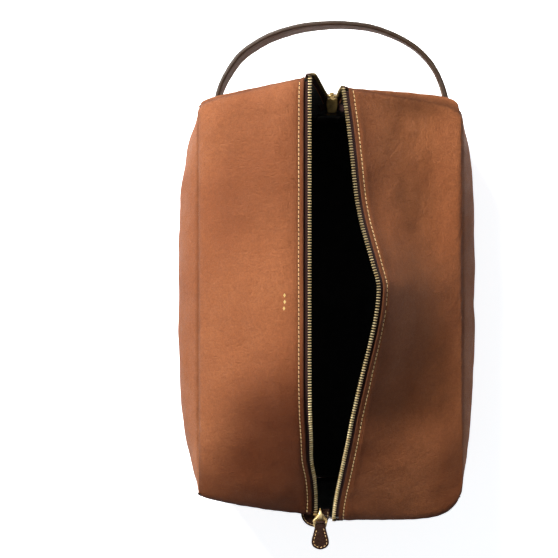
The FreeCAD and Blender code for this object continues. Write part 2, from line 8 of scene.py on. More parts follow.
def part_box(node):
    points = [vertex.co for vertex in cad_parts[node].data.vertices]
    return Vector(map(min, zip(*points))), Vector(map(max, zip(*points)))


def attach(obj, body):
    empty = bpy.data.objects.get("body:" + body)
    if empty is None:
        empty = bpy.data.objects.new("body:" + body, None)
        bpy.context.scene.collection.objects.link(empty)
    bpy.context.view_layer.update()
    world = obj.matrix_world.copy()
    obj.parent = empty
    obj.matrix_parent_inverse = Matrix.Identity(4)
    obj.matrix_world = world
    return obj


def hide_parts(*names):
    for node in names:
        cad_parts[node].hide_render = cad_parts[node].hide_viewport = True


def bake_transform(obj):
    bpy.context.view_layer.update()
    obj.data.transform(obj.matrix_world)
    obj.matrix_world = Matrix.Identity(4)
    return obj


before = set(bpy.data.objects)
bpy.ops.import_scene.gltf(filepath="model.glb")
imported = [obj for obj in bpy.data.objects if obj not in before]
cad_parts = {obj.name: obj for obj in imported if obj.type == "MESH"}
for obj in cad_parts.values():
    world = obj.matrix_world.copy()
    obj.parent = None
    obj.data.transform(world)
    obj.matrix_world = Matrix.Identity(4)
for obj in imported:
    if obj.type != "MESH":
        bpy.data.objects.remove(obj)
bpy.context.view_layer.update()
MM = 0.001
scene = bpy.context.scene

# ------------------------------------------------------------------ places, mm, from the frame
lo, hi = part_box("top_piping_left")
XL = (lo.x + hi.x) / 2 / MM
lo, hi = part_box("top_piping_right")
XR = (lo.x + hi.x) / 2 / MM
ZT = (lo.z + hi.z) / 2 / MM
MID, HALF = (XL + XR) / 2, (XR - XL) / 2
lo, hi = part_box("slider_body_front")
FX, FY0, FZ = (lo.x + hi.x) / 2 / MM, lo.y / MM + 7.5, lo.z / MM
lo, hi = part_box("slider_body_rear")
RX = (lo.x + hi.x) / 2 / MM
lo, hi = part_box("handle_strap_core")
HZ = (lo.z + hi.z) / 2 / MM


# ------------------------------------------------------------------ small maths
def smooth(t):
    t = np.clip(t, 0.0, 1.0)
    return t * t * (3 - 2 * t)


def hermite(xs, ys, x):
    """Smooth curve through a table, at x (any shape)."""
    xs, ys = np.asarray(xs, float), np.asarray(ys, float)
    flat = ys.ndim == 1
    if flat:
        ys = ys[:, None]
    m = np.gradient(ys, xs, axis=0)
    x = np.asarray(x, float)
    shape = x.shape
    q = np.clip(x.ravel(), xs[0], xs[-1])
    i = np.clip(np.searchsorted(xs, q, side="right") - 1, 0, len(xs) - 2)
    h = (xs[i + 1] - xs[i])[:, None]
    t = (q - xs[i])[:, None] / h
    a, b = ys[i], ys[i + 1]
    out = (2 * t**3 - 3 * t**2 + 1) * a + (t**3 - 2 * t**2 + t) * h * m[i] + (3 * t**2 - 2 * t**3) * b + (t**3 - t**2) * h * m[i + 1]
    return out.reshape(shape) if flat else out.reshape(shape + (ys.shape[1],))


def unit(v):
    return v / np.maximum(np.linalg.norm(v, axis=-1, keepdims=True), 1e-9)


def normals(P):
    du = np.gradient(P, axis=0)
    dv = np.gradient(P, axis=1)
    return unit(np.cross(du, dv))


def wobble(P, size, seed=0.0):
    """Smooth noise, -1..1, of places in mm at a wavelength of about size mm."""
    flat = P.reshape(-1, 3) / size
    out = np.array([noise.noise(Vector((p[0] + seed, p[1] - seed * 0.7, p[2] + seed * 1.3))) for p in flat])
    return out.reshape(P.shape[:-1]) * 1.6


def polyline(points, step):
    """Points evenly along a smooth curve through points, step mm apart."""
    pts = np.asarray(points, float)
    k = np.concatenate([[0], np.cumsum(np.linalg.norm(np.diff(pts, axis=0), axis=1))])
    fine = hermite(k, pts, np.linspace(0, k[-1], 1200))
    d = np.concatenate([[0], np.cumsum(np.linalg.norm(np.diff(fine, axis=0), axis=1))])
    n = max(2, int(round(d[-1] / step)) + 1)
    q = np.linspace(0, d[-1], n)
    return np.stack([np.interp(q, d, fine[:, i]) for i in range(3)], axis=1)


# ------------------------------------------------------------------ mesh making
def make_mesh(name, verts, faces, mats, face_mat=None, attrs=None, uv=None, nrm=None, flat=False):
    """An object from vertices in mm."""
    me = bpy.data.meshes.new(name)
    me.from_pydata((np.asarray(verts) * MM).tolist(), [], faces)
    for m in mats:
        me.materials.append(m)
    if face_mat is not None:
        me.polygons.foreach_set("material_index", np.asarray(face_mat, np.int32))
    if not flat:
        me.polygons.foreach_set("use_smooth", np.ones(len(me.polygons), bool))
    for key, val in (attrs or {}).items():
        a = me.attributes.new(key, "FLOAT", "POINT")
        a.data.foreach_set("value", np.asarray(val, np.float32))
    if uv is not None:
        layer = me.uv_layers.new(name="UVMap")
        loops = np.zeros(len(me.loops), np.int32)
        me.loops.foreach_get("vertex_index", loops)
        layer.data.foreach_set("uv", np.asarray(uv, np.float32)[loops].ravel())
    me.update()
    if nrm is not None:
        me.normals_split_custom_set_from_vertices(np.asarray(nrm, float).tolist())
    ob = bpy.data.objects.new(name, me)
    scene.collection.objects.link(ob)
    return ob


def shell(name, O, I, mats, edge=None, uv=None, open_sides=(), roll=1.0, seg=4, out_normals=None, painted_shade=None):
    """A closed sheet from its outer and inner grids, with rounded borders. open_sides: 'v0'/'v1' aren't closed."""
    nu, nv = O.shape[:2]
    raw = normals(O)
    way = np.sign(np.sum(raw * (O - I)))
    NO = raw * way if out_normals is None else out_normals * np.sign(np.sum(out_normals * (O - I)))
    n0 = nu * nv
    verts = [O.reshape(-1, 3), I.reshape(-1, 3)]
    nrm = [NO.reshape(-1, 3), -NO.reshape(-1, 3)]
    idx = np.arange(n0).reshape(nu, nv)
    faces, fm = [], []
    a, b, c, d = idx[:-1, :-1].ravel(), idx[1:, :-1].ravel(), idx[1:, 1:].ravel(), idx[:-1, 1:].ravel()
    quads = np.stack([a, b, c, d] if way > 0 else [d, c, b, a], axis=1)
    faces += quads.tolist()
    fm += [0] * len(quads)
    faces += (quads[:, ::-1] + n0).tolist()
    fm += [min(1, len(mats) - 1)] * len(quads)
    ring = [(i, 0) for i in range(nu)] + [(nu - 1, j) for j in range(1, nv)] + [(i, nv - 1) for i in range(nu - 2, -1, -1)] + [(0, j) for j in range(nv - 2, 0, -1)]
    E = np.zeros((len(ring), 3))
    for k, (i, j) in enumerate(ring):
        e = np.zeros(3)
        if i == 0:
            e += unit(O[0, j] - O[1, j])
        if i == nu - 1:
            e += unit(O[-1, j] - O[-2, j])
        if j == 0 and "v0" not in open_sides:
            e += unit(O[i, 0] - O[i, 1])
        if j == nv - 1 and "v1" not in open_sides:
            e += unit(O[i, -1] - O[i, -2])
        n = NO[i, j]
        e = e - n * np.dot(e, n)
        E[k] = unit(e)
    R = np.array([idx[i, j] for i, j in ring])
    RO, RI, RN = O.reshape(-1, 3)[R], I.reshape(-1, 3)[R], NO.reshape(-1, 3)[R]
    loops = [R]
    base = 2 * n0
    for q in range(1, seg):
        th = math.pi * q / seg
        r = np.linalg.norm(RO - RI, axis=1, keepdims=True) / 2
        verts.append((RO + RI) / 2 + math.cos(th) * (RO - RI) / 2 + math.sin(th) * r * E * roll)
        nrm.append(unit(math.cos(th) * RN + math.sin(th) * E))
        loops.append(np.arange(len(ring)) + base)
        base += len(ring)
    loops.append(R + n0)
    m = len(ring)
    for k in range(m):
        k2 = (k + 1) % m
        (i1, j1), (i2, j2) = ring[k], ring[k2]
        if "v0" in open_sides and j1 == 0 and j2 == 0:
            continue
        if "v1" in open_sides and j1 == nv - 1 and j2 == nv - 1:
            continue
        for p in range(seg):
            f = [loops[p][k], loops[p + 1][k], loops[p + 1][k2], loops[p][k2]]
            faces.append([int(x) for x in (f if way > 0 else f[::-1])])
            fm.append(min(2, len(mats) - 1) if len(mats) > 2 else 0)
    V = np.concatenate(verts)
    ed = np.zeros(len(V))
    if edge is not None:
        ed[:n0] = edge.ravel()
        ed[n0 : 2 * n0] = edge.ravel()
        for q in range(1, seg):
            s0 = 2 * n0 + (q - 1) * m
            ed[s0 : s0 + m] = 1.0
    # Per-vertex painted shade for the leather's colour, carried onto the rounded borders too.
    pa = np.zeros(len(V))
    if painted_shade is not None:
        pa[:n0] = pa[n0 : 2 * n0] = painted_shade.ravel()
        for q in range(1, seg):
            s0 = 2 * n0 + (q - 1) * m
            pa[s0 : s0 + m] = painted_shade.ravel()[R]
    uvs = None
    if uv is not None:
        uvs = np.zeros((len(V), 2))
        uvs[:n0] = uv.reshape(-1, 2)
        uvs[n0 : 2 * n0] = uv.reshape(-1, 2)
        for q in range(1, seg):
            s0 = 2 * n0 + (q - 1) * m
            uvs[s0 : s0 + m] = uv.reshape(-1, 2)[R]
    return make_mesh(name, V, faces, mats, fm, {"edge": ed, "painted_shade": pa}, uvs, np.concatenate(nrm))


def instances(name, base, faces, frames, mats, attrs=None, face_mat=None, flat=False):
    """Many copies of one small mesh: frames is a list of (origin, X, Y, Z axes)."""
    base = np.asarray(base, float)
    V, F, M = [], [], []
    seed = []
    for k, (o, x, y, z) in enumerate(frames):
        V.append(o + base[:, :1] * x + base[:, 1:2] * y + base[:, 2:3] * z)
        F += [[i + k * len(base) for i in f] for f in faces]
        if face_mat is not None:
            M += face_mat
        seed += [((k * 7919) % 97) / 97.0] * len(base)
    return make_mesh(name, np.concatenate(V), F, mats, M if face_mat is not None else None, {"piece": seed}, flat=flat)


def lathe_like(rings, close=True):
    """Vertices and faces of stacked rings of equal count, with end caps."""
    n = len(rings[0])
    V = [p for r in rings for p in r]
    F = []
    for k in range(len(rings) - 1):
        for i in range(n):
            j = (i + 1) % n
            F.append([k * n + i, k * n + j, (k + 1) * n + j, (k + 1) * n + i])
    if close:
        F.append(list(range(n))[::-1])
        F.append([(len(rings) - 1) * n + i for i in range(n)])
    return V, F


def capsule():
    """A stitch along X, 1 long, radius 1 across."""
    rings = []
    for x, r in ((-0.5, 0.25), (-0.47, 0.62), (-0.36, 0.92), (0.0, 1.0), (0.36, 0.92), (0.47, 0.62), (0.5, 0.25)):
        rings.append([(x, r * math.cos(a), r * math.sin(a)) for a in np.linspace(0, 2 * math.pi, 9)[:-1]])
    return lathe_like(rings)


def tooth():
    """A zip tooth: clamp at the tape, nose at +X."""
    prof = ((0.7, 0.40, 1.0), (0.95, 0.48, 1.2), (2.3, 0.48, 1.2), (2.8, 0.42, 1.12), (3.7, 0.38, 1.06), (4.0, 0.25, 0.9))
    rings = []
    for x, w, h in prof:
        c = 0.26
        rings.append([(x, w, h - c), (x, w - c, h), (x, -w + c, h), (x, -w, h - c), (x, -w, -h + c), (x, -w + c, -h), (x, w - c, -h), (x, w, -h + c)])
    return lathe_like(rings)


def tube(name, pts, radius, mats, n=10, closed=False, attrs=None):
    """A round wire along points. radius may be a list."""
    pts = np.asarray(pts, float)
    if closed:
        T = unit(np.roll(pts, -1, 0) - np.roll(pts, 1, 0))
    else:
        T = unit(np.gradient(pts, axis=0))
    ref = np.array([0.0, 0.0, 1.0]) if abs(T[0][2]) < 0.9 else np.array([1.0, 0, 0])
    x = unit(np.cross(T[0], ref))
    radius = np.broadcast_to(np.asarray(radius, float), (len(pts),))
    rings = []
    for p, t, r in zip(pts, T, radius):
        x = unit(x - t * np.dot(x, t))
        y = np.cross(t, x)
        rings.append([p + r * (math.cos(a) * x + math.sin(a) * y) for a in np.linspace(0, 2 * math.pi, n + 1)[:-1]])
    if closed:
        V = [p for q in rings for p in q]
        F = []
        m = len(rings)
        for k in range(m):
            for i in range(n):
                j = (i + 1) % n
                k2 = (k + 1) % m
                F.append([k * n + i, k * n + j, k2 * n + j, k2 * n + i])
    else:
        V, F = lathe_like(rings)
    return make_mesh(name, V, F, mats, None, {"edge": np.zeros(len(V))})


def slab(name, outline, z0, z1, bevel, mats, place=None, dome=0.0):
    """A plate from a closed outline, its edges rounded; place maps (n,3) mm to mm."""
    out = np.asarray(outline, float)
    area = 0.5 * np.sum(out[:, 0] * np.roll(out[:, 1], -1) - np.roll(out[:, 0], -1) * out[:, 1])
    if area < 0:
        out = out[::-1]
    nxt, prv = np.roll(out, -1, 0), np.roll(out, 1, 0)
    t = unit(nxt - prv)
    nr = np.stack([t[:, 1], -t[:, 0]], axis=1)
    rings = []
    steps = [(0.0, 0.0), (0.3, 0.7), (0.7, 0.95)]
    zs = []
    c = out.mean(0)
    for th in np.linspace(0, math.pi / 2, 5):
        rings.append((out - nr * bevel * (1 - math.sin(th)), z0 + bevel * (1 - math.cos(th))))
    for th in np.linspace(0, math.pi / 2, 5):
        rings.append((out - nr * bevel * (1 - math.cos(th)), z1 - bevel * (1 - math.sin(th))))
    inner = out - nr * bevel
    for k in (0.12, 0.3, 0.55, 0.8, 0.97):
        rings.append((inner * (1 - k) + c * k, z1 + dome * (1 - (1 - k) ** 2)))
    lowr = []
    for k in (0.97, 0.8, 0.55, 0.3, 0.12):
        lowr.append((inner * (1 - k) + c * k, z0 - 0.0))
    rings = lowr + rings
    R = [[(p[0], p[1], z) for p in r] for r, z in rings]
    V, F = lathe_like(R)
    V = np.asarray(V, float)
    if place is not None:
        V = place(V)
    return make_mesh(name, V, F, mats, None, {"edge": np.zeros(len(V))})


def join(name, obs):
    """Joins meshes that share their kind of attributes into one object."""
    for o in bpy.context.selected_objects:
        o.select_set(False)
    for o in obs:
        o.select_set(True)
    bpy.context.view_layer.objects.active = obs[0]
    bpy.ops.object.join()
    obs[0].name = name
    obs[0].data.name = name
    return obs[0]


# ------------------------------------------------------------------ materials
def lin(r, g, b):
    def f(c):
        c /= 255.0
        return c / 12.92 if c <= 0.04045 else ((c + 0.055) / 1.055) ** 2.4

    return (f(r), f(g), f(b), 1.0)


class Mat:
    def __init__(self, name):
        self.m = bpy.data.materials.new(name)
        self.m.use_nodes = True
        self.t = self.m.node_tree
        self.b = self.t.nodes["Principled BSDF"]
        self.co = self.t.nodes.new("ShaderNodeTexCoord")

    def node(self, kind, **kw):
        n = self.t.nodes.new(kind)
        for k, v in kw.items():
            if k.startswith("in_"):
                n.inputs[int(k[3:]) if k[3:].isdigit() else k[3:].replace("_", " ")].default_value = v
            else:
                setattr(n, k, v)
        return n

    def link(self, a, b):
        self.t.links.new(a, b)

    def noise(self, scale, detail=3.0, rough=0.55, src="Object"):
        n = self.node("ShaderNodeTexNoise")
        n.inputs["Scale"].default_value = scale
        n.inputs["Detail"].default_value = detail
        n.inputs["Roughness"].default_value = rough
        self.link(self.co.outputs[src], n.inputs["Vector"])
        return n.outputs["Fac"]

    def ramp(self, fac, a, b, lo=0.3, hi=0.7):
        r = self.node("ShaderNodeValToRGB")
        r.color_ramp.elements[0].position = lo
        r.color_ramp.elements[0].color = a
        r.color_ramp.elements[1].position = hi
        r.color_ramp.elements[1].color = b
        self.link(fac, r.inputs["Fac"])
        return r.outputs["Color"]

    def mix(self, fac, a, b, kind="MIX"):
        n = self.node("ShaderNodeMix", data_type="RGBA", blend_type=kind)
        for sock, v in ((n.inputs[0], fac), (n.inputs[6], a), (n.inputs[7], b)):
            if hasattr(v, "default_value") or hasattr(v, "links"):
                self.link(v, sock)
            else:
                sock.default_value = v
        return n.outputs[2]

    def math(self, op, a, b=0.0, clamp=False):
        n = self.node("ShaderNodeMath", operation=op, use_clamp=clamp)
        for sock, v in ((n.inputs[0], a), (n.inputs[1], b)):
            if isinstance(v, (int, float)):
                sock.default_value = v
            else:
                self.link(v, sock)
        return n.outputs[0]

    def remap(self, v, a, b, c, d):
        n = self.node("ShaderNodeMapRange")
        self.link(v, n.inputs[0])
        for i, x in zip((1, 2, 3, 4), (a, b, c, d)):
            n.inputs[i].default_value = x
        return n.outputs[0]

    def attr(self, name):
        n = self.node("ShaderNodeAttribute", attribute_name=name)
        return n.outputs["Fac"]

    def bump(self, height, strength, distance, before=None):
        n = self.node("ShaderNodeBump")
        n.inputs["Strength"].default_value = strength
        n.inputs["Distance"].default_value = distance
        self.link(height, n.inputs["Height"])
        if before is not None:
            self.link(before, n.inputs["Normal"])
        return n.outputs["Normal"]

    def voronoi(self, scale, feature="F1", src="Object"):
        n = self.node("ShaderNodeTexVoronoi", feature=feature)
        n.inputs["Scale"].default_value = scale
        self.link(self.co.outputs[src], n.inputs["Vector"])
        return n.outputs["Distance"]

    def wave(self, scale, direction="X", distortion=0.0, src="Object"):
        n = self.node("ShaderNodeTexWave", bands_direction=direction)
        n.inputs["Scale"].default_value = scale
        n.inputs["Distortion"].default_value = distortion
        self.link(self.co.outputs[src], n.inputs["Vector"])
        return n.outputs["Fac"]


def leather(name, light, dark, edge_rgb, rough=(0.40, 0.56), grain=0.5, coat=0.06, edge_amount=0.75, spec=0.45):
    k = Mat(name)
    big = k.noise(7.0, 3.0, 0.5)
    mid = k.noise(32.0, 5.0, 0.6)
    fine = k.noise(260.0, 4.0, 0.65)
    body = k.ramp(big, dark, light, 0.33, 0.66)
    body = k.mix(k.remap(mid, 0.35, 0.7, 0.0, 0.42), body, dark)
    body = k.mix(k.remap(fine, 0.3, 0.7, 0.30, 0.0), body, tuple(c * 0.45 for c in dark[:3]) + (1.0,))
    pores = k.noise(620.0, 3.0, 0.6)
    body = k.mix(k.math("MULTIPLY", k.remap(pores, 0.38, 0.62, 0.34, 0.0), grain), body, tuple(c * 0.5 for c in dark[:3]) + (1.0,))
    # The per-vertex shade value darkens the base colour towards a deep brown and raises roughness: mostly painted
    # shade, with some darker oiled tone.
    shade_mix = k.math("MULTIPLY", k.attr("painted_shade"), k.remap(mid, 0.3, 0.7, 0.85, 1.0))
    body = k.mix(shade_mix, body, tuple(c * f for c, f in zip(dark[:3], (0.30, 0.22, 0.14))) + (1.0,))
    # The edge value darkens the colour towards edge_rgb: painted shade along the seam grooves, together with the
    # leather's real darker cut edges and painted strap edges.
    edge = k.attr("edge")
    broken = k.math("MULTIPLY", edge, k.remap(mid, 0.25, 0.7, 0.65, 1.0))
    col = k.mix(k.math("MULTIPLY", broken, edge_amount), body, edge_rgb)
    k.link(col, k.b.inputs["Base Color"])
    k.link(k.math("ADD", k.remap(mid, 0.3, 0.7, rough[0], rough[1]), k.math("MULTIPLY", shade_mix, 0.22)), k.b.inputs["Roughness"])
    cells = k.voronoi(640.0, "DISTANCE_TO_EDGE")
    pebble = k.voronoi(1150.0, "F1")
    h = k.math("ADD", k.remap(cells, 0.0, 0.12, 0.0, 1.0), k.math("MULTIPLY", pebble, 0.35))
    h = k.math("ADD", h, k.math("MULTIPLY", fine, 0.9))
    n1 = k.bump(h, 0.9 * grain, 0.0010)
    crease = k.noise(95.0, 5.0, 0.6)
    n2 = k.bump(crease, 0.45, 0.0026, n1)
    k.link(n2, k.b.inputs["Normal"])
    k.b.inputs["Specular IOR Level"].default_value = spec
    k.b.inputs["Coat Weight"].default_value = coat
    k.b.inputs["Coat Roughness"].default_value = 0.32
    return k.m


def cloth(name, a, b, scale=1500.0, sheen=0.25, rough=0.85):
    k = Mat(name)
    w1, w2 = k.wave(scale / 6.0, "X"), k.wave(scale / 6.0, "Y")
    w3 = k.wave(scale / 6.0, "Z")
    weave = k.math("MAXIMUM", k.math("MULTIPLY", w1, w3), w2)
    soft = k.noise(22.0, 4.0)
    col = k.mix(weave, a, b)
    col = k.mix(k.remap(soft, 0.3, 0.7, 0.0, 0.5), col, a)
    k.link(col, k.b.inputs["Base Color"])
    k.link(k.remap(soft, 0.3, 0.7, rough - 0.08, rough + 0.06), k.b.inputs["Roughness"])
    n1 = k.bump(weave, 0.35, 0.0003)
    k.link(k.bump(soft, 0.3, 0.003, n1), k.b.inputs["Normal"])
    k.b.inputs["Sheen Weight"].default_value = sheen
    return k.m


def tape_mat(name):
    k = Mat(name)
    rows = k.wave(260.0, "X", 0.0, "UV")
    across = k.wave(210.0, "Y", 0.0, "UV")
    rib = k.math("MULTIPLY", rows, across)
    mott = k.noise(90.0, 3.0)
    col = k.mix(rib, lin(36, 15, 14), lin(78, 44, 38))
    col = k.mix(k.remap(mott, 0.3, 0.7, 0.0, 0.35), col, lin(44, 26, 24))
    k.link(col, k.b.inputs["Base Color"])
    k.link(k.remap(mott, 0.3, 0.7, 0.72, 0.9), k.b.inputs["Roughness"])
    k.link(k.bump(rib, 0.6, 0.0004), k.b.inputs["Normal"])
    k.b.inputs["Sheen Weight"].default_value = 0.05
    k.b.inputs["Specular IOR Level"].default_value = 0.15
    return k.m


def metal(name, a, b, rough=(0.20, 0.36)):
    k = Mat(name)
    n = k.noise(140.0, 4.0)
    fine = k.noise(900.0, 3.0)
    per = k.attr("piece")
    tone = k.math("MULTIPLY", k.math("ADD", n, k.math("MULTIPLY", per, 0.5)), 0.75)
    k.link(k.ramp(tone, a, b, 0.25, 0.7), k.b.inputs["Base Color"])
    k.b.inputs["Metallic"].default_value = 0.6
    k.link(k.remap(fine, 0.3, 0.7, rough[0], rough[1]), k.b.inputs["Roughness"])
    k.link(k.bump(fine, 0.10, 0.0002), k.b.inputs["Normal"])
    return k.m


def thread(name, a, b):
    k = Mat(name)
    w = k.wave(420.0, "DIAGONAL", 1.0)
    mott = k.noise(120.0, 2.0)
    col = k.mix(w, a, b)
    col = k.mix(k.remap(mott, 0.35, 0.7, 0.0, 0.4), col, a)
    k.link(col, k.b.inputs["Base Color"])
    k.link(k.remap(w, 0.0, 1.0, 0.55, 0.7), k.b.inputs["Roughness"])
    k.link(k.bump(w, 0.5, 0.0003), k.b.inputs["Normal"])
    return k.m


TAN = leather("leather_tan", lin(174, 108, 67), lin(147, 84, 48), lin(62, 31, 15), rough=(0.5, 0.64), grain=0.8, coat=0.0, spec=0.17)
DARK = leather("leather_dark", lin(66, 35, 16), lin(46, 23, 10), lin(20, 11, 7), rough=(0.45, 0.6), grain=0.8, coat=0.0, spec=0.22)
STRAP = leather("leather_strap", lin(98, 68, 38), lin(74, 50, 27), lin(54, 37, 20), rough=(0.52, 0.64), grain=0.5, coat=0.0, spec=0.24)
STRAP_EDGE = leather("strap_edge_paint", lin(68, 47, 29), lin(50, 34, 20), lin(36, 24, 14), rough=(0.42, 0.55), grain=0.2, coat=0.03, spec=0.3)
PAINT = leather("edge_paint", lin(34, 22, 16), lin(22, 14, 10), lin(14, 9, 7), rough=(0.25, 0.35), grain=0.15, coat=0.2)
FLESH = leather("leather_underside", lin(120, 82, 56), lin(92, 60, 40), lin(60, 36, 22), rough=(0.75, 0.9), grain=0.3, coat=0.0, spec=0.2)
LINING = cloth("lining_black", lin(10, 9, 9), lin(30, 27, 26))
BOARD = cloth("board_grey", lin(60, 55, 50), lin(86, 80, 73), 700.0, 0.0, 0.8)
TAPE = tape_mat("zip_tape_weave")
BRASS = metal("brass_bright", lin(204, 170, 108), lin(250, 228, 176), (0.26, 0.42))
# A darker copy of the brass for the teeth turning down the ends, the right front end and the rear stop: painted shade.
BRASS_DARK_SHADE = metal("brass_dark_shade", lin(64, 52, 31), lin(104, 86, 52), (0.4, 0.55))
# A dimmer copy of the brass for the rear slider: painted shade.
BRASS_DIM_SHADE = metal("brass_dim_shade", lin(118, 96, 52), lin(184, 156, 96), (0.32, 0.48))
CREAM = thread("thread_cream", lin(200, 152, 92), lin(244, 212, 158))
BROWN_THREAD = thread("thread_brown", lin(92, 68, 50), lin(132, 102, 78))
# Dark colour for the marks at the stitch holes: painted shade in the holes.
HOLE_SHADE = leather("stitch_hole_shade", lin(40, 20, 10), lin(28, 14, 8), lin(18, 9, 5), rough=(0.6, 0.7), grain=0.1, coat=0.0)
FOIL = metal("gold_foil", lin(214, 176, 104), lin(246, 220, 150), (0.3, 0.4))

# ------------------------------------------------------------------ top panels: shape
TEETH_EDGE = {
    -1: [(-201, -14.4, 109.5), (-193, -13.9, 112), (-186, -13.9, 115), (-166, -15.3, 126), (-146, -18.6, 138.5), (-126.5, -19.1, 150.5), (-107, -20.2, 160.5), (-88.6, -20.7, 167), (-70, -20.9, 169.6), (-50, -20.9, 170), (0, -20.9, 170), (90, -20.9, 170), (150, -20.9, 170), (202, -20.9, 169.5)],
    1: [(-206, -0.2, 107.5), (-201, -0.2, 111), (-194, 0.2, 114.5), (-186, 1.2, 118), (-165.6, 4.5, 130), (-146, 8.0, 140.5), (-126.5, 11.6, 151), (-107, 15.0, 159), (-89, 18.6, 166), (-70, 22.6, 173), (-52, 26.8, 178.5), (-34, 31.0, 183.5), (-16, 34.6, 187.5), (2, 37.0, 189.6), (14, 37.4, 190), (32, 33.0, 186), (54.7, 26.9, 179.5), (72, 22.6, 173.5), (90.9, 19.3, 168), (110, 17.0, 165.5), (127, 15.4, 163), (164, 11.2, 156.5), (194.7, 7.2, 149.5)],
}
ROW = {s: np.array(v, float) for s, v in TEETH_EDGE.items()}
L_SEC = 123.6
BOW = {
    -1: ([0, 0.06, 0.15, 0.35, 0.55, 0.70, 0.78, 0.86, 0.94, 1.0], [0, 2.2, 4.4, 7.2, 8.4, 9.4, 9.6, 7.6, 3.6, 0]),
    1: ([0, 0.05, 0.10, 0.15, 0.22, 0.32, 0.45, 0.60, 0.78, 0.90, 1.0], [0, -2.4, -4.6, -6.4, -8.2, -9.0, -7.8, -4.6, -1.2, 0.2, 0]),
}
BOW_FRONT = {
    -1: ([0, 0.08, 0.2, 0.35, 0.5, 0.65, 0.8, 0.9, 1.0], [0, 4.5, 8.5, 11.5, 12.5, 11.5, 8.5, 5.0, 0]),
    1: ([0, 0.08, 0.2, 0.35, 0.5, 0.65, 0.8, 0.9, 1.0], [0, 2.0, 4.5, 6.0, 6.5, 6.5, 5.5, 3.5, 0]),
}


BOW_REAR = ([0, 0.05, 0.10, 0.15, 0.22, 0.32, 0.45, 0.60, 0.78, 0.90, 1.0], [0, -3.2, -6.0, -8.4, -10.8, -12.2, -11.4, -8.4, -3.6, -0.8, 0])


def near_y(side, x):
    q = np.clip(np.abs((x - MID) / HALF), 0, 1)
    if side < 0:
        return -183.0 - 2.0 * np.sqrt(np.maximum(0, 1 - q**12)) - 16.0 * (1 - q**1.6)
    return -172.0 - 34.0 * np.sqrt(np.maximum(0, 1 - q**8))


def far_y(side, x, s):
    q = np.clip(np.abs((x - MID) / HALF), 0, 1)
    if side < 0:
        return 181.0 + 4.6 * np.sqrt(np.maximum(0, 1 - q**12)) + 16.3 * s
    return 171.5 + 11.7 * np.sqrt(np.maximum(0, 1 - q**10)) + 11.5 * s


def panel_base(side, s, t):
    """Points (ns, nt, 3) of the underside of a top panel's leather: s from the side seam to the teeth's ends, t from near to far."""
    s, t = np.asarray(s, float)[:, None], np.asarray(t, float)[None, :]
    hx = XL if side < 0 else XR
    y_end0, y_end1 = ROW[side][0, 0], ROW[side][-1, 0]
    ye = y_end0 + (y_end1 - y_end0) * t
    e = hermite(ROW[side][:, 0], ROW[side][:, 1:], ye)
    ex, ez = e[..., 0], e[..., 1]
    x_lin = hx + (ex - hx) * s
    yn, yf = near_y(side, x_lin), far_y(side, x_lin, s)
    # the row's own ends decide at the teeth
    yn = yn + (y_end0 - yn) * smooth((s - 0.9) / 0.1)
    yf = yf + (y_end1 - yf) * smooth((s - 0.9) / 0.1)
    y = yn + (yf - yn) * t
    z_lin = ZT + (ez - ZT) * s
    chord = np.sqrt((ex - hx) ** 2 + (ez - ZT) ** 2)
    nx, nz = (-(ez - ZT) / chord, (ex - hx) / chord) if side < 0 else ((ez - ZT) / chord, -(ex - hx) / chord)
    wf = smooth((-96.0 - ye) / 62.0)
    wr = smooth((ye - 20.0) / 70.0) if side > 0 else 0.0 * ye
    bow = (hermite(*BOW[side], s * np.ones_like(t)) * (1 - wr) + hermite(*BOW_REAR, s * np.ones_like(t)) * wr) * (1 - wf) + hermite(*BOW_FRONT[side], s * np.ones_like(t)) * wf
    dn, df = y - yn, yf - y
    rim = 1 - (1 - np.clip(dn / 34.0, 0, 1)) ** 2.4
    rimf = 0.35 + 0.65 * (1 - (1 - np.clip(df / 26.0, 0, 1)) ** 2.2)
    bow = bow * (0.10 + 0.90 * rim) * rimf
    P = np.stack([x_lin + nx * bow, y + 0 * bow, z_lin + nz * bow], axis=-1)
    # large soft undulations, less at the borders
    calm = smooth(np.clip(dn / 24, 0, 1)) * smooth(np.clip(df / 24, 0, 1)) * smooth(s * L_SEC / 26) * smooth((1 - s) * L_SEC / 16)
    w = 1.05 * wobble(P * np.array([1, 0.7, 1]), 44.0, 3.1 * side) + 0.42 * wobble(P, 19.0, 7.7 * side)
    P[..., 0] += nx * w * calm
    P[..., 2] += nz * w * calm
    return P


def panel_grid(side, s0, s1, t0, t1, ns, nt, dense=True):
    s = np.linspace(s0, s1, ns)
    if dense:
        q = np.linspace(-1, 1, nt)
        t = t0 + (t1 - t0) * (0.5 + 0.5 * (0.72 * q + 0.28 * np.sin(q * math.pi / 2)))
    else:
        t = np.linspace(t0, t1, nt)
    return s, t, panel_base(side, s, t)


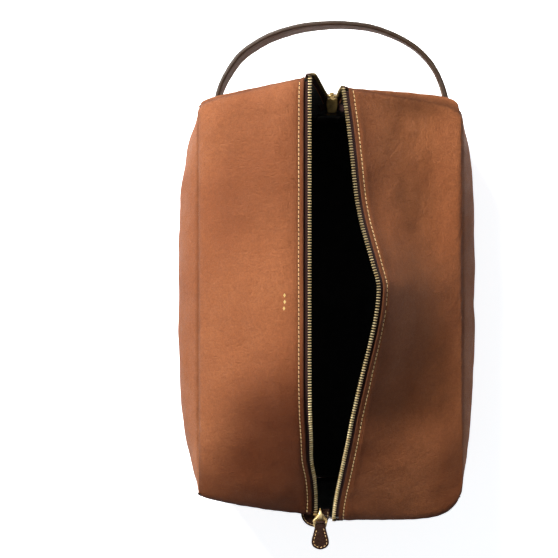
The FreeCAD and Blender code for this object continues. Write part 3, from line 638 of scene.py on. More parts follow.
S_EDGE = 1 - 6.9 / L_SEC
SURF = {}
for side in (-1, 1):
    ns, nt = 150, 330
    q = np.linspace(0, 1, ns)
    s = S_EDGE * (0.5 - 0.5 * np.cos(math.pi * (0.12 + 0.76 * q)))
    s = (s - s[0]) / (s[-1] - s[0]) * S_EDGE
    q = np.linspace(0, 1, nt)
    t = 0.5 - 0.5 * np.cos(math.pi * (0.16 + 0.68 * q))
    t = (t - t[0]) / (t[-1] - t[0])
    B = panel_base(side, s, t)
    N = normals(B)
    if N[ns // 2, nt // 2, 2] < 0:
        N = -N
    du = np.concatenate([np.zeros((1, nt)), np.cumsum(np.linalg.norm(np.diff(B, axis=0), axis=-1), axis=0)])
    dv = np.concatenate([np.zeros((ns, 1)), np.cumsum(np.linalg.norm(np.diff(B, axis=1), axis=-1), axis=1)], axis=1)
    d_edge = du[-1:, :] - du
    d_near, d_far = dv, dv[:, -1:] - dv
    pucker = 0.34 * wobble(np.stack([du * 0.3, dv, du * 0], -1), 7.0, 11 * side) * np.exp(-du / 7.0)
    pucker += 0.30 * wobble(np.stack([du, dv * 0.3, du * 0], -1), 7.5, 17 * side) * (np.exp(-d_near / 7.0) + np.exp(-d_far / 7.0))
    groove = -2.1 * np.exp(-((du / 2.6) ** 1.3)) - 1.9 * (np.exp(-((d_near / 2.6) ** 1.3)) + np.exp(-((d_far / 2.6) ** 1.3)))
    stitch = -0.5 * np.exp(-(((d_edge - 3.5) / 0.9) ** 2)) + 0.32 * np.exp(-(((d_edge - 7.5) / 3.0) ** 2))
    ripple = 0.16 * np.cos(dv * 2 * math.pi / 4.0) * np.exp(-(((d_edge - 2.2) / 1.8) ** 2))
    lift = 2.2 + pucker + groove + stitch + ripple
    SURF[side] = dict(s=s, t=t, B=B, N=N, du=du, dv=dv, lift=lift, outer=B + N * lift[..., None], inner=B + N * (0.12 + 0.5 * np.minimum(0, groove + 1.2))[..., None], d_edge=d_edge, d_near=d_near, d_far=d_far)

SPLIT_Y = -6.0
LEFT_A, LEFT_B = (0, -0.204, 0), (0, -0.072, 0)
RIGHT_A, RIGHT_B = (0, -0.203, 0), (0, -0.030, 0)
REAR_R_A, REAR_R_B = (0, 0.0, 0), (0, 0.372, 0)
FACE_L = ((-0.25 * 0.097, 0, 0.97 * 0.097), (-0.25 * 0.150, 0, 0.97 * 0.150))
FACE_R = ((0.37 * 0.090, 0, 0.93 * 0.090), (0.37 * 0.202, 0, 0.93 * 0.202))
ZONES = {
    "left": ("body", "left_flap", LEFT_A, LEFT_B),
    "right_front": ("body", "right_flap", RIGHT_A, RIGHT_B),
    "right_rear": ("right_flap", "body", REAR_R_A, REAR_R_B),
    "face_left": ("body", "left_flap") + FACE_L,
    "face_right": ("body", "right_flap") + FACE_R,
}


def bend(ob, zone):
    a, b, p, q = ZONES[zone]
    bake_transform(ob)
    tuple(p)
    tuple(q)
    return ob


def sub(side, key, c):
    return SURF[side][key][:, c]


def cut_columns(side):
    """The right panel is two pieces that meet near SPLIT_Y; the left panel is one."""
    if side < 0:
        return [("left", slice(None), ())]
    tt = SURF[1]["t"]
    k = int(np.argmin(np.abs(SURF[1]["B"][75, :, 1] - SPLIT_Y)))
    return [("right_front", slice(0, k + 1), ("v1",)), ("right_rear", slice(k, None), ("v0",))]


# Darkening towards seams and borders: painted shade in the seam grooves, together with the leather's darker cut edges.
def edge_tone(*ds, reach=3.2):
    e = 0
    for d in ds:
        e = np.maximum(e, np.exp(-((np.asarray(d) / reach) ** 1.2)))
    return np.clip(e, 0, 1)


for side, word in ((-1, "left"), (1, "right")):
    G = SURF[side]
    # Seam, border and stitch-line darkening of the top panels: painted shade in the grooves, together with darker cut
    # edges.
    tone = edge_tone(G["du"], reach=2.6)
    tone = np.maximum(tone, edge_tone(G["d_near"], G["d_far"], reach=2.4))
    tone = np.maximum(tone, 0.55 * edge_tone(G["d_edge"], reach=1.2))
    tone = np.maximum(tone, 0.30 * np.exp(-(((G["d_edge"] - 3.5) / 0.8) ** 2)))
    NO = normals(G["outer"])
    if NO[75, 160, 2] < 0:
        NO = -NO
    # Painted shade in the top panels' colour, mostly standing in for the shade where the leather falls away from the
    # key light, with some darker oiled tone. It is darker towards the front, along the zip edge, a little towards the
    # rear and, on the right panel, towards its outer edge. One patch on the right panel is lightened as a painted
    # highlight.
    px_, py_ = G["outer"][..., 0], G["outer"][..., 1]
    if side < 0:
        across = 0.861 * px_ - 0.508 * py_
        shade_map = smooth((across + 58.0) / 62.0) * smooth((-py_ - 14.0) / 92.0)
        shade_map = np.maximum(shade_map, 0.96 * smooth((-py_ - 128.0) / 44.0))
        shade_map = np.maximum(shade_map, 0.30 * smooth((py_ - 30.0) / 60.0) * smooth((px_ + 122.0) / 30.0))
        shade_map = np.maximum(shade_map, 0.30 * smooth((-py_ - 150.0) / 26.0))
        shade_map = np.clip(shade_map + 0.42 * np.exp(-((G["d_edge"] / 8.5) ** 1.6)) * (1 - 0.8 * shade_map), 0, 1)
    else:
        shade_map = 0.20 * smooth((30 - py_) / 60.0) + 0.30 * smooth((-py_ - 112.0) / 40.0) + 0.34 * np.exp(-((G["d_edge"] / 20.0) ** 2))
        shade_map = shade_map + 0.26 * smooth((px_ - 84.0) / 26.0) * smooth((40 - py_) / 60.0) - 0.16 * np.exp(-(((px_ - 84.0) / 22.0) ** 2)) * smooth((py_ - 20) / 50.0)
        shade_map = np.clip(shade_map + 0.16 * smooth((py_ - 120.0) / 50.0), 0, 1)
    for tag, c, opened in cut_columns(side):
        ob = shell("panel_" + tag, G["outer"][:, c], G["inner"][:, c], [TAN, LINING, TAN], tone[:, c], open_sides=opened, out_normals=NO[:, c], painted_shade=0.9 * shade_map[:, c])
        bend(ob, tag)
        if tag != "right_rear":
            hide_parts("top_panel_" + word)
        # lining cloth under it
        Li = G["B"][2:-6, c] - G["N"][2:-6, c] * 0.35
        w = 0.25 * wobble(Li, 13.0, 5.0) + 0.12 * wobble(Li, 5.0, 9.0)
        Lb = Li - G["N"][2:-6, c] * (0.7 + 0 * w + 0.35 * np.abs(w))[..., None]
        ln = shell("lining_" + tag, Li[:, 1:-1], Lb[:, 1:-1], [LINING], open_sides=opened, seg=2)
        bend(ln, tag)
        if tag != "right_rear":
            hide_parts("top_lining_" + word)


# ------------------------------------------------------------------ zip rows
def row_frames(side):
    """Path of the teeth's ends along the top, with directions: along, into the opening, out."""
    s = np.array([1 - 8.0 / L_SEC, 1 - 4.0 / L_SEC, 1.0])
    t = np.linspace(0, 1, 700)
    P = panel_base(side, s, t)
    U = unit(P[2] - P[0])
    T = unit(np.gradient(P[2], axis=0))
    U = unit(U - T * np.sum(U * T, axis=1, keepdims=True))
    N = np.cross(T, U) * (-1 if side < 0 else 1)
    if N[350, 2] < 0:
        N = -N
    return P[2] - N * 0.8, T, U, N


def resample(P, T, U, N, step, offset=0.0):
    d = np.concatenate([[0], np.cumsum(np.linalg.norm(np.diff(P, axis=0), axis=1))])
    q = np.arange(offset, d[-1] - 0.4, step)
    f = lambda A: np.stack([np.interp(q, d, A[:, i]) for i in range(3)], axis=1)
    return f(P), unit(f(T)), unit(f(U)), unit(f(N)), q


def down_path(side):
    """From the raised rear corner over the edge and down to the rear slider's mouth."""
    if side < 0:
        pts = [(-20.9, 200.8, 168.8), (-19.6, 203.6, 167.6), (-17.0, 204.4, 163.6), (-14.6, 202.6, 156.0), (-10.8, 198.8, 139.0), (-6.4, 194.4, 119.0), (-4.2, 192.2, 111.0), (-2.2, 189.6, 106.9), (0.1, 186.4, 104.6), (1.1, 182.6, 102.1), (1.2, 178.9, 99.6)]
    else:
        pts = [(7.1, 193.4, 148.8), (6.6, 195.4, 145.6), (5.9, 195.2, 140.0), (4.4, 193.4, 126.0), (3.9, 192.2, 114.0), (3.2, 191.3, 110.0), (1.6, 189.4, 106.8), (-0.5, 186.4, 104.6), (-1.5, 182.6, 102.1), (-1.6, 178.9, 99.6)]
    P = polyline(pts, 0.4)
    T = unit(np.gradient(P, axis=0))
    k = np.linspace(0, 1, len(P))[:, None]
    want = np.array([-side * 0.98, 0.0, 0.22]) * (1 - k) + np.array([-side * 1.0, 0.0, 0.0]) * k
    U = unit(want - T * np.sum(want * T, axis=1, keepdims=True))
    N = np.cross(T, U)
    N = N * np.sign(N[:, 1:2] * 0.7 - N[:, 2:3] * (T[:, 1:2] < -0.6) + 0.05)
    return P, T, U, N


def front_path(side):
    """From the front end of the panel to the front slider, or over the front edge beside it."""
    if side < 0:
        pts = [(-14.4, -200.6, 108.8), (-14.6, -201.6, 108.2), (-14.7, -202.6, 108.0)]
    else:
        pts = [(-0.2, -206.1, 106.6), (0.0, -206.9, 104.6), (0.0, -206.6, 102.0)]
    P = polyline(pts, 0.4)
    T = unit(np.gradient(P, axis=0))
    want = np.array([-side * 1.0, 0.0, 0.12]) * np.ones_like(P)
    U = unit(want - T * np.sum(want * T, axis=1, keepdims=True))
    N = np.cross(T, U)
    N = N * np.sign(N[:, 2:3] - 0.6 * N[:, 1:2])
    return P, T, U, N


TV, TF = tooth()


def lay_row(name, path, zone, side, step=2.5, offset=0.6, tape_w=19.0, trim=(0.0, 0.0), mat=None, taper=0.0, dive=0.0):
    P, T, U, N, q = resample(*path, step, offset)
    frames = [(p - u * 4.0, u, t, n) for p, t, u, n in zip(P, T, U, N)]
    ob = instances("teeth_" + name, TV, TF, frames, [mat or BRASS], flat=True)
    # tape: from under the leather to the clamps, with its beaded edge
    Pt, Tt, Ut, Nt, qt = resample(*path, 1.25, 0.0)
    keep = (qt >= trim[0]) & (qt <= qt[-1] - trim[1])
    Pt, Tt, Ut, Nt, qt = Pt[keep], Tt[keep], Ut[keep], Nt[keep], qt[keep]
    prof = [(-tape_w, -0.05), (-5.6 - 0.5 * (tape_w - 5.6), 0.0), (-5.6 - 0.2 * (tape_w - 5.6), 0.0), (-5.6 - 0.06 * (tape_w - 5.6), 0.06), (-5.6, 0.12), (-4.9, 0.05), (-4.2, 0.0), (-3.4, 0.35), (-2.8, 0.45), (-2.3, 0.2)]
    k = smooth((qt - 1.0) / taper)[:, None] if taper else np.ones((len(qt), 1))
    wide = lambda a: a if a > -5.5 else -5.2 + (a + 5.2) * (0.04 + 0.96 * k)
    sink = lambda a: -dive * max(0.0, -a - 6.0) * k
    O = np.stack([Pt + Ut * wide(a) + Nt * (0.45 + b + sink(a)) for a, b in prof])
    I = np.stack([Pt + Ut * wide(a) + Nt * (-0.5 - (b if a > -4 else 0) + sink(a)) for a, b in prof])
    uv = np.zeros(O.shape[:2] + (2,))
    uv[..., 0] = np.array([a for a, _ in prof])[:, None] * 0.01 * 4
    uv[..., 1] = qt[None, :] * 0.01 * 4
    tp = shell("tape_" + name, O, I, [TAPE], np.zeros(O.shape[:2]), uv, seg=2)
    if zone == "body":
        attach(ob, "body")
        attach(tp, "body")
    else:
        bend(ob, zone)
        bend(tp, zone)
    return ob, tp


# The teeth turning down the rear end and over the right front edge take the darker brass copy: painted shade.
for side, word in ((-1, "left"), (1, "right")):
    path = row_frames(side)
    if side < 0:
        t_ob, t_tp = lay_row("left_top", path, "left", side, trim=(3.0, 2.6))
        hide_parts("zip_teeth_left")
        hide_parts("zip_tape_left")
        d_ob, d_tp = lay_row("left_down", down_path(side), "face_left", side, tape_w=12.0, mat=BRASS_DARK_SHADE, trim=(1.0, 0.0), taper=7.0, dive=0.75)
        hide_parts("zip_runin_rear_left")
        f_ob, f_tp = lay_row("left_front", front_path(side), "body", side, tape_w=10.0)
        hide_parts("zip_runin_front_left")
    else:
        k = int(np.argmin(np.abs(path[0][:, 1] - SPLIT_Y)))
        a = tuple(x[: k + 1] for x in path)
        b = tuple(x[k:] for x in path)
        t_ob, t_tp = lay_row("right_top", a, "right_front", side, offset=1.8, trim=(3.0, 0.0))
        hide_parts("zip_teeth_right")
        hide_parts("zip_tape_right")
        lay_row("right_top_rear", b, "right_rear", side, offset=1.8, trim=(0.0, 2.6))
        d_ob, d_tp = lay_row("right_down", down_path(side), "face_right", side, tape_w=12.0, offset=1.8, mat=BRASS_DARK_SHADE, trim=(1.0, 0.0), taper=7.0, dive=0.75)
        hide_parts("zip_runin_rear_right")
        f_ob, f_tp = lay_row("right_front_end", front_path(side), "body", side, tape_w=10.0, mat=BRASS_DARK_SHADE)
        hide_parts("zip_runin_front_right")

# ------------------------------------------------------------------ stitches
CV, CF = capsule()


def stitches(name, P, N, mat, length=2.9, radius=0.42, pitch=4.0, lift=0.14, holes=True):
    """Threads along points on a surface, each dipping into its holes."""
    d = np.concatenate([[0], np.cumsum(np.linalg.norm(np.diff(P, axis=0), axis=1))])
    q = np.arange(pitch / 2, d[-1] - pitch / 3, pitch)
    f = lambda A: np.stack([np.interp(q, d, A[:, i]) for i in range(3)], axis=1)
    T = unit(np.gradient(P, axis=0))
    p, n, t = f(P), unit(f(N)), unit(f(T))
    fr = []
    for i in range(len(q)):
        tt = unit(t[i] - n[i] * np.dot(t[i], n[i]))
        b = np.cross(n[i], tt)
        skew = 0.10 * math.sin(i * 2.399)
        tt2 = unit(tt + b * (0.07 + skew * 0.4))
        b2 = np.cross(n[i], tt2)
        fr.append((p[i] + n[i] * lift, tt2 * length, b2 * radius, n[i] * radius * 0.85))
    obs = [instances(name, CV, CF, fr, [mat])]
    if holes:
        # Dark flat marks at the stitch holes: painted shade in the holes.
        h = []
        qh = np.arange(pitch / 2, d[-1] - pitch / 3, pitch) + pitch / 2
        g = lambda A: np.stack([np.interp(qh, d, A[:, i]) for i in range(3)], axis=1)
        ph, nh, th = g(P), unit(g(N)), unit(g(T))
        for i in range(len(qh)):
            b = np.cross(nh[i], th[i])
            h.append((ph[i] + nh[i] * 0.02, th[i] * 1.15, b * 0.52, nh[i] * 0.16))
        obs.append(instances(name + "_holes", CV, CF, h, [HOLE_SHADE]))
    return obs


def place_stitches(obs, zone):
    for o in obs:
        if zone in ZONES:
            bend(o, zone)
        else:
            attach(o, zone)


for side in (-1, 1):
    G = SURF[side]
    # the line 3.5 mm in from the leather's edge
    nt = G["outer"].shape[1]
    line, nn = [], []
    for j in range(nt):
        de = G["d_edge"][::-1, j]
        line.append([np.interp(3.5, de, G["outer"][::-1, j, i]) for i in range(3)])
        nn.append([np.interp(3.5, de, G["N"][::-1, j, i]) for i in range(3)])
    line, nn = np.array(line), unit(np.array(nn))
    for tag, c, _ in cut_columns(side):
        a, b = line[c], nn[c]
        a, b = (a[3:], b[3:]) if tag != "right_rear" else (a, b)
        a, b = (a[:-3], b[:-3]) if tag != "right_front" else (a, b)
        place_stitches(stitches("stitch_" + tag, a, b, CREAM), tag)

# ------------------------------------------------------------------ walls
PROFILE = [(0, 0.0, 0.0), (2.5, 0.0, 0.05), (12, 0.3, 0.44), (28, 0.9, 0.85), (50, 1.7, 1.0), (72, 2.4, 0.82), (90, 3.0, 0.42), (99, 3.2, 0.14), (104, 3.2, 0.0)]
ALONG = [(-184, 0.0), (-176, 0.14), (-165, 0.36), (-130, 0.74), (-80, 0.94), (0, 1.0), (80, 0.95), (130, 0.76), (165, 0.38), (176, 0.15), (184, 0.0)]
pr, al = np.array(PROFILE, float), np.array(ALONG, float)
BASE_X = {-1: -XL - 3.2, 1: XR - 3.2}


def corner(sx, sy, z):
    """Where the corner seam is at a height. sx -1 left +1 right, sy -1 front +1 rear."""
    k = np.clip(np.asarray(z, float) / ZT, 0, 1)
    top = {(-1, -1): (XL + 0.6, -184.0), (-1, 1): (XL + 0.6, 183.6), (1, -1): (XR - 2.6, -186.5), (1, 1): (XR - 2.6, 180.5)}[(sx, sy)]
    bot = (sx * (BASE_X[sx] - 7.4), sy * 177.0)
    m = smooth(k * 1.25)
    return bot[0] + (top[0] - bot[0]) * m, bot[1] + (top[1] - bot[1]) * m


def under(z):
    """How far the wall tucks in under the bottom edge."""
    r = 7.0
    return np.where(z < r, r - np.sqrt(np.maximum(0, r * r - (r - z) ** 2)), 0.0)


def cround(q):
    q = np.clip(q, 0, 1)
    return 1 - np.sqrt(np.maximum(0, 1 - (1 - q) ** 2))


def heights(n, top):
    q = np.linspace(0, 1, n)
    k = 0.5 - 0.5 * np.cos(math.pi * (0.1 + 0.8 * q))
    k = (k - k[0]) / (k[-1] - k[0])
    return 0.9 + (top - 0.9) * k


def seam_lift(dists, depth=1.9, lam=2.6):
    g = 0
    for d in dists:
        g = g - depth * np.exp(-((d / lam) ** 1.3))
    return g


def wall_from(name, B, nout, replaces_leather, replaces_cloth, ride="body", soft=1.0, undul=1.0, sides=("u0", "u1", "v0", "v1"), zone=None, seedv=1.0):
    """Leather wall and its lining from a base grid (its leather's mid surface) and an outward guess."""
    N = normals(B)
    if np.sum(N[B.shape[0] // 2, B.shape[1] // 2] * nout) < 0:
        N = -N
    du = np.concatenate([np.zeros((1, B.shape[1])), np.cumsum(np.linalg.norm(np.diff(B, axis=0), axis=-1), axis=0)])
    dv = np.concatenate([np.zeros((B.shape[0], 1)), np.cumsum(np.linalg.norm(np.diff(B, axis=1), axis=-1), axis=1)], axis=1)
    table = {"u0": du, "u1": du[-1:] - du, "v0": dv, "v1": dv[:, -1:] - dv}
    near = np.minimum.reduce([table[k] for k in ("u0", "u1", "v0", "v1")])
    w = undul * (0.9 * wobble(B, 40.0, seedv) + 0.4 * wobble(B, 17.0, seedv + 4)) * smooth(near / 20.0)
    puck = 0.34 * wobble(B, 7.0, seedv + 8) * np.exp(-near / 7.0)
    lift = 1.1 + w + puck + seam_lift([table[k] for k in sides])
    O = B + N * lift[..., None]
    I = B - N * (1.0 - w)[..., None]
    # Darkening along the wall's seams: painted shade in the seam grooves, with darker cut edges.
    tone = edge_tone(*[table[k] for k in sides], reach=2.6)
    ob = shell(name, O, I, [TAN, LINING, TAN], tone)
    Li = (B - N * (1.3 - w)[..., None])[2:-2, 2:-2]
    w2 = 0.22 * wobble(Li, 12.0, seedv + 2)
    Lb = Li - N[2:-2, 2:-2] * (0.75 + np.abs(w2))[..., None]
    ln = shell(name + "_lining", Li, Lb, [LINING], seg=2)
    for o, rep in ((ob, replaces_leather), (ln, replaces_cloth)):
        if zone:
            bend(o, zone)
        else:
            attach(o, ride)
        if rep:
            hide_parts(*rep)
    return O, N, table


for sx, word, bulge in ((-1, "left", 23.0), (1, "right", 18.5)):
    z = heights(64, ZT - 0.6)
    a = np.linspace(-1, 1, 240)
    a = np.sign(a) * (1 - (1 - np.abs(a)) ** 1.25)
    Z, A = np.meshgrid(z, a, indexing="ij")
    kfx, kfy = corner(sx, -1, Z)
    krx, kry = corner(sx, 1, Z)
    Y = np.where(A < 0, kfy * -A, kry * A)
    Y = (kfy + kry) / 2 + (kry - kfy) / 2 * A
    drift = hermite(pr[:, 0], pr[:, 1], Z)
    share = hermite(pr[:, 0], pr[:, 2], Z) * np.clip(hermite(al[:, 0], al[:, 1], Y), 0, 1)
    plain = sx * (BASE_X[sx] + drift)
    kx = np.where(A < 0, kfx, krx)
    rr = 6 + 14 * (1 - Z / ZT) + (8 if sx > 0 else 0)
    d = (1 - np.abs(A)) * (kry - kfy) / 2
    X = plain + (kx - plain) * cround(d / rr) + sx * bulge * share - sx * under(Z)
    B = np.stack([X, Y, Z], -1)
    wall_from("side_" + word, B, np.array([sx, 0, 0]), ["side_panel_" + word], ["side_lining_" + word], seedv=20 + sx)


def front_top(x):
    """Front edge shared by the top panels and the front end: y and z."""
    L = panel_base(-1, np.linspace(0, 1, 160), [0.0])[:, 0]
    R = panel_base(1, np.linspace(0, 1, 160), [0.0])[::-1, 0]
    k = smooth((x + 14.4) / 14.2)
    y = np.interp(x, L[:, 0], L[:, 1]) * (1 - k) + np.interp(x, R[:, 0], R[:, 1]) * k + 0.6
    z = np.interp(x, L[:, 0], L[:, 2]) * (1 - k) + np.interp(x, R[:, 0], R[:, 2]) * k - 0.5
    dip = np.exp(-(((x + 7.5) / 14.5) ** 6))
    return y, z + (ZT + 1.0 - z) * dip


z01 = (heights(64, 1.0) - 0.9) / 0.1
a = np.linspace(-1, 1, 220)
a = np.sign(a) * (1 - (1 - np.abs(a)) ** 1.2)
K, A = np.meshgrid(np.linspace(0, 1, 64), a, indexing="ij")
klx, kly = corner(-1, -1, K * ZT)
krx, kry = corner(1, -1, K * ZT)
X = (klx + krx) / 2 + (krx - klx) / 2 * A
yt, zt = front_top(X)
Z = 0.9 + (zt - 0.9) * K
q = (X - MID) / HALF
mid_bow = 13.0 * (1 - q**2) * np.sin(np.clip(K, 0, 1) * math.pi * 0.62) / 0.93
low = -(184.6 + mid_bow)
m = smooth((K - 0.55) / 0.45)
Y = low * (1 - m) + yt * m
kc = np.where(A < 0, kly, kry)
rr = 6 + 15 * (1 - K) + np.where(A > 0, 6, 0)
d = (1 - np.abs(A)) * (krx - klx) / 2
Y = Y + (kc - Y) * cround(d / rr) + under(Z)
FRONT_O, FRONT_N, _ = wall_from("end_front", np.stack([X, Y, Z], -1), np.array([0, -1, 0]), ["end_panel_front"], ["end_lining_front"], seedv=31)


for sx in (-1, 1):
    for sy in (-1, 1):
        zz = np.linspace(4.0, ZT - 3.0, 40)
        cx_, cy_ = corner(sx, sy, zz)
        tuck = under(zz)
        P = np.stack([cx_ - sx * (3.2 + tuck), cy_ - sy * (3.2 + tuck), zz], -1)
        rib = 2.9 + 0.25 * np.sin(zz * 0.9 + sx) + 0.2 * np.sin(zz * 0.37 + 2 * sy)
        ob = tube("binding_%s_%s" % ("left" if sx < 0 else "right", "front" if sy < 0 else "rear"), P, rib, [LINING], n=12)
        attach(ob, "body")


def coons(bottom, top, left, right):
    """Grid between four border curves: bottom/top along u (nu,3), left/right along v (nv,3)."""
    nu, nv = len(bottom), len(left)
    u, v = np.linspace(0, 1, nu)[:, None, None], np.linspace(0, 1, nv)[None, :, None]
    c = (1 - v) * bottom[:, None] + v * top[:, None] + (1 - u) * left[None] + u * right[None]
    return c - ((1 - u) * (1 - v) * bottom[0] + u * (1 - v) * bottom[-1] + (1 - u) * v * top[0] + u * v * top[-1])


def along(pts, n):
    pts = np.asarray(pts, float)
    k = np.concatenate([[0], np.cumsum(np.linalg.norm(np.diff(pts, axis=0), axis=1))])
    return hermite(k / k[-1], pts, np.linspace(0, 1, n))


INNER = {
    -1: [(-1.9, 178.0, 1.0), (-1.9, 182.6, 7.0), (-1.9, 182.2, 40.0), (-2.0, 179.8, 75.0), (-2.6, 178.4, 90.0), (-7.2, 182.8, 100.0), (-12.2, 191.0, 117.0), (-18.8, 198.2, 140.0), (-26.6, 201.6, 165.4)],
    1: [(-1.3, 178.0, 1.0), (-1.3, 182.6, 7.0), (-1.3, 182.2, 40.0), (-1.2, 179.8, 75.0), (-0.2, 178.4, 90.0), (6.2, 182.8, 100.0), (9.4, 190.4, 115.0), (11.4, 193.4, 130.0), (13.2, 194.4, 146.4)],
}
for side, word in ((-1, "left"), (1, "right")):
    G = SURF[side]
    nu, nv = 110, 130
    top_src = G["B"][:, -1] + G["N"][:, -1] * 0.4
    top = np.stack([np.interp(np.linspace(0, 1, nu), G["s"] / S_EDGE, top_src[:, i]) for i in range(3)], axis=1)
    zz = np.linspace(0.9, ZT - 0.6, 60)
    kx, ky = corner(side, 1, zz)
    outer = along(np.stack([kx, ky - under(zz), zz], 1), nv)
    outer[-1] = top[0]
    inner = along(INNER[side], nv)
    top[-1] = inner[-1]
    xs = np.linspace(outer[0, 0], inner[0, 0], nu)
    bottom = np.stack([xs, ky[0] + (184.4 - 7.0 - ky[0]) * smooth((np.abs(xs - outer[0, 0])) / 26.0) , 0.9 + 0 * xs], 1)
    bottom[-1], bottom[0] = inner[0], outer[0]
    B = coons(bottom, top, outer, inner)
    # the end stands out to a soft vertical wall low down, and caves in above
    u, v = np.linspace(0, 1, nu)[:, None], np.linspace(0, 1, nv)[None, :]
    zfrac = np.clip(B[..., 2] / 95.0, 0, 1)
    B[..., 1] += 6.4 * smooth(u * 9) * np.sin(math.pi * np.clip((zfrac), 0, 1)) ** 0.8 * (1 - u**3) * 0.75
    O, N, tb = wall_from("end_rear_" + word, B, np.array([0, 1, 0]), ["end_panel_rear"] if side < 0 else None, ["end_lining_rear"] if side < 0 else None, zone="face_" + word, sides=("u0", "v0", "v1"), seedv=41 + side)
    line, nn = [], []
    for j in range(nv):
        de = tb["u1"][::-1, j]
        line.append([np.interp(3.4, de, O[::-1, j, i]) for i in range(3)])
        nn.append([np.interp(3.4, de, N[::-1, j, i]) for i in range(3)])
    line, nn = np.array(line), unit(np.array(nn))
    keepz = line[:, 2] > 20
    place_stitches(stitches("stitch_face_" + word, line[keepz][:-3] + nn[keepz][:-3] * 0.05, nn[keepz][:-3], CREAM), "face_" + word)

vv = np.linspace(0, 1, 70)
mid_l, mid_r = along(INNER[-1], 200), along(INNER[1], 200)
zz = np.linspace(3.0, 91.0, 70)
cyy = np.interp(zz, mid_l[:, 2], mid_l[:, 1])
xx = np.linspace(-12.0, 9.0, 16)
PB = np.stack([np.repeat(xx[:, None], 70, 1), np.repeat((cyy - 2.4)[None], 16, 0) - 0.02 * np.abs(xx[:, None] + 1.6) ** 1.5, np.repeat(zz[None], 16, 0)], -1)
PI = PB.copy()
PI[..., 1] -= 0.8
pk = shell("rear_placket", PB, PI, [LINING], seg=2)
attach(pk, "body")

# ------------------------------------------------------------------ piping in the seams
def piping(name, pts, r, nodes, mat=None, zone=None):
    P = polyline(pts, 1.6)
    rr = r * (1 + 0.10 * wobble(P, 5.0, 3.3))
    ob = tube(name, P, rr, [mat or TAN], n=12)
    me = ob.data
    # The piping is darkened a little: painted shade in the seam.
    me.attributes["edge"].data.foreach_set("value", np.full(len(me.vertices), 0.35, np.float32))
    if zone:
        bend(ob, zone)
    else:
        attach(ob, "body")
    if nodes:
        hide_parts(*nodes)
    return ob


for sx, word in ((-1, "left"), (1, "right")):
    x = XL if sx < 0 else XR
    y0, y1 = (-182.0, 180.0) if sx < 0 else (-173.0, 171.0)
    ys = np.linspace(y0, y1, 24)
    piping("seam_welt_" + word, [(x - sx * 0.5, y, ZT - 1.2) for y in ys], 1.25, ["top_piping_" + word])
for sy, word in ((-1, "front"), (1, "rear")):
    obs = []
    for sx in (-1, 1):
        zz = np.linspace(2.5, ZT - 5.5, 24)
        kx, ky = corner(sx, sy, zz)
        P = polyline(np.stack([kx - sx * 0.5, ky - sy * (0.5 + under(zz) * 0.7), zz], 1), 1.6)
        obs.append(tube("corner_%s_%d" % (word, sx), P, 1.5, [TAN], n=12))
    ob = join("corner_welt_" + word, obs)
    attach(ob, "body")
    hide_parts("corner_piping_" + word)

# ------------------------------------------------------------------ bottom: leather, board and lining keep their shapes
def rounded_plan(w, l, r, cx, cy, n=16):
    pts = []
    for (px, py, a0) in ((cx + w / 2 - r, cy + l / 2 - r, 0), (cx - w / 2 + r, cy + l / 2 - r, 90), (cx - w / 2 + r, cy - l / 2 + r, 180), (cx + w / 2 - r, cy - l / 2 + r, 270)):
        for a in np.linspace(a0, a0 + 90, n):
            pts.append((px + r * math.cos(math.radians(a)), py + r * math.sin(math.radians(a))))
    return np.array(pts)


lo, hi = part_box("bottom_panel")
w, l = (hi.x - lo.x) / MM - 5.0, (hi.y - lo.y) / MM - 7.0
cx, cy = (hi.x + lo.x) / 2 / MM, (hi.y + lo.y) / 2 / MM
plan = rounded_plan(w, l, 24, cx, cy, 24)
bt = slab("bottom_leather", plan, 0.0, 2.3, 1.1, [TAN])
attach(bt, "body")
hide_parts("bottom_panel")
bstitch = rounded_plan(w - 9, l - 9, 20, cx, cy, 24)
bp = np.concatenate([np.c_[bstitch, np.full(len(bstitch), 0.0)], [[bstitch[0, 0], bstitch[0, 1], 0.0]]])
bp = np.concatenate([bp[i] + (bp[i + 1] - bp[i]) * np.linspace(0, 1, 40)[:-1, None] for i in range(len(bp) - 1)])
bs = stitches("stitch_bottom", bp, np.tile([0, 0, -1.0], (len(bp), 1)), BROWN_THREAD, 3.2, 0.34, 4.4, -0.1, False)
place_stitches(bs, "body")
# lining over the board, gently creased
lo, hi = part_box("bottom_lining")
gx, gy = np.meshgrid(np.linspace(lo.x / MM + 0.5, hi.x / MM - 0.5, 90), np.linspace(lo.y / MM + 0.5, hi.y / MM - 0.5, 130), indexing="ij")
r = 21.0
ex = np.clip(np.abs(gx - cx) - ((hi.x - lo.x) / 2 / MM - r), 0, None) / r
ey = np.clip(np.abs(gy - cy) - ((hi.y - lo.y) / 2 / MM - r), 0, None) / r
pull = 1 / np.maximum(1.0, np.sqrt(ex**2 + ey**2) / np.maximum(np.maximum(ex, ey), 1e-6))
gx = cx + (gx - cx) * np.where((ex > 0) & (ey > 0), 1 - 0.29 * ex * ey * r / np.abs(gx - cx), 1)
gy = cy + (gy - cy) * np.where((ex > 0) & (ey > 0), 1 - 0.29 * ex * ey * r / np.abs(gy - cy), 1)
FB = np.stack([gx, gy, np.full_like(gx, lo.z / MM + 0.9)], -1)
FB[..., 2] += 0.35 * np.abs(wobble(FB, 26.0, 2.0)) + 0.18 * wobble(FB, 9.0, 6.0)
lb = FB.copy()
lb[..., 2] = lo.z / MM + 0.05
fl = shell("floor_lining", FB, lb, [LINING], seg=2)
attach(fl, "body")
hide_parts("bottom_lining")


# ------------------------------------------------------------------ sliders, links, tabs
def placer(origin, ax, ay, az):
    o, ax, ay, az = (np.array(v, float) for v in (origin, ax, ay, az))
    return lambda V: o + V[:, :1] * ax + V[:, 1:2] * ay + V[:, 2:3] * az


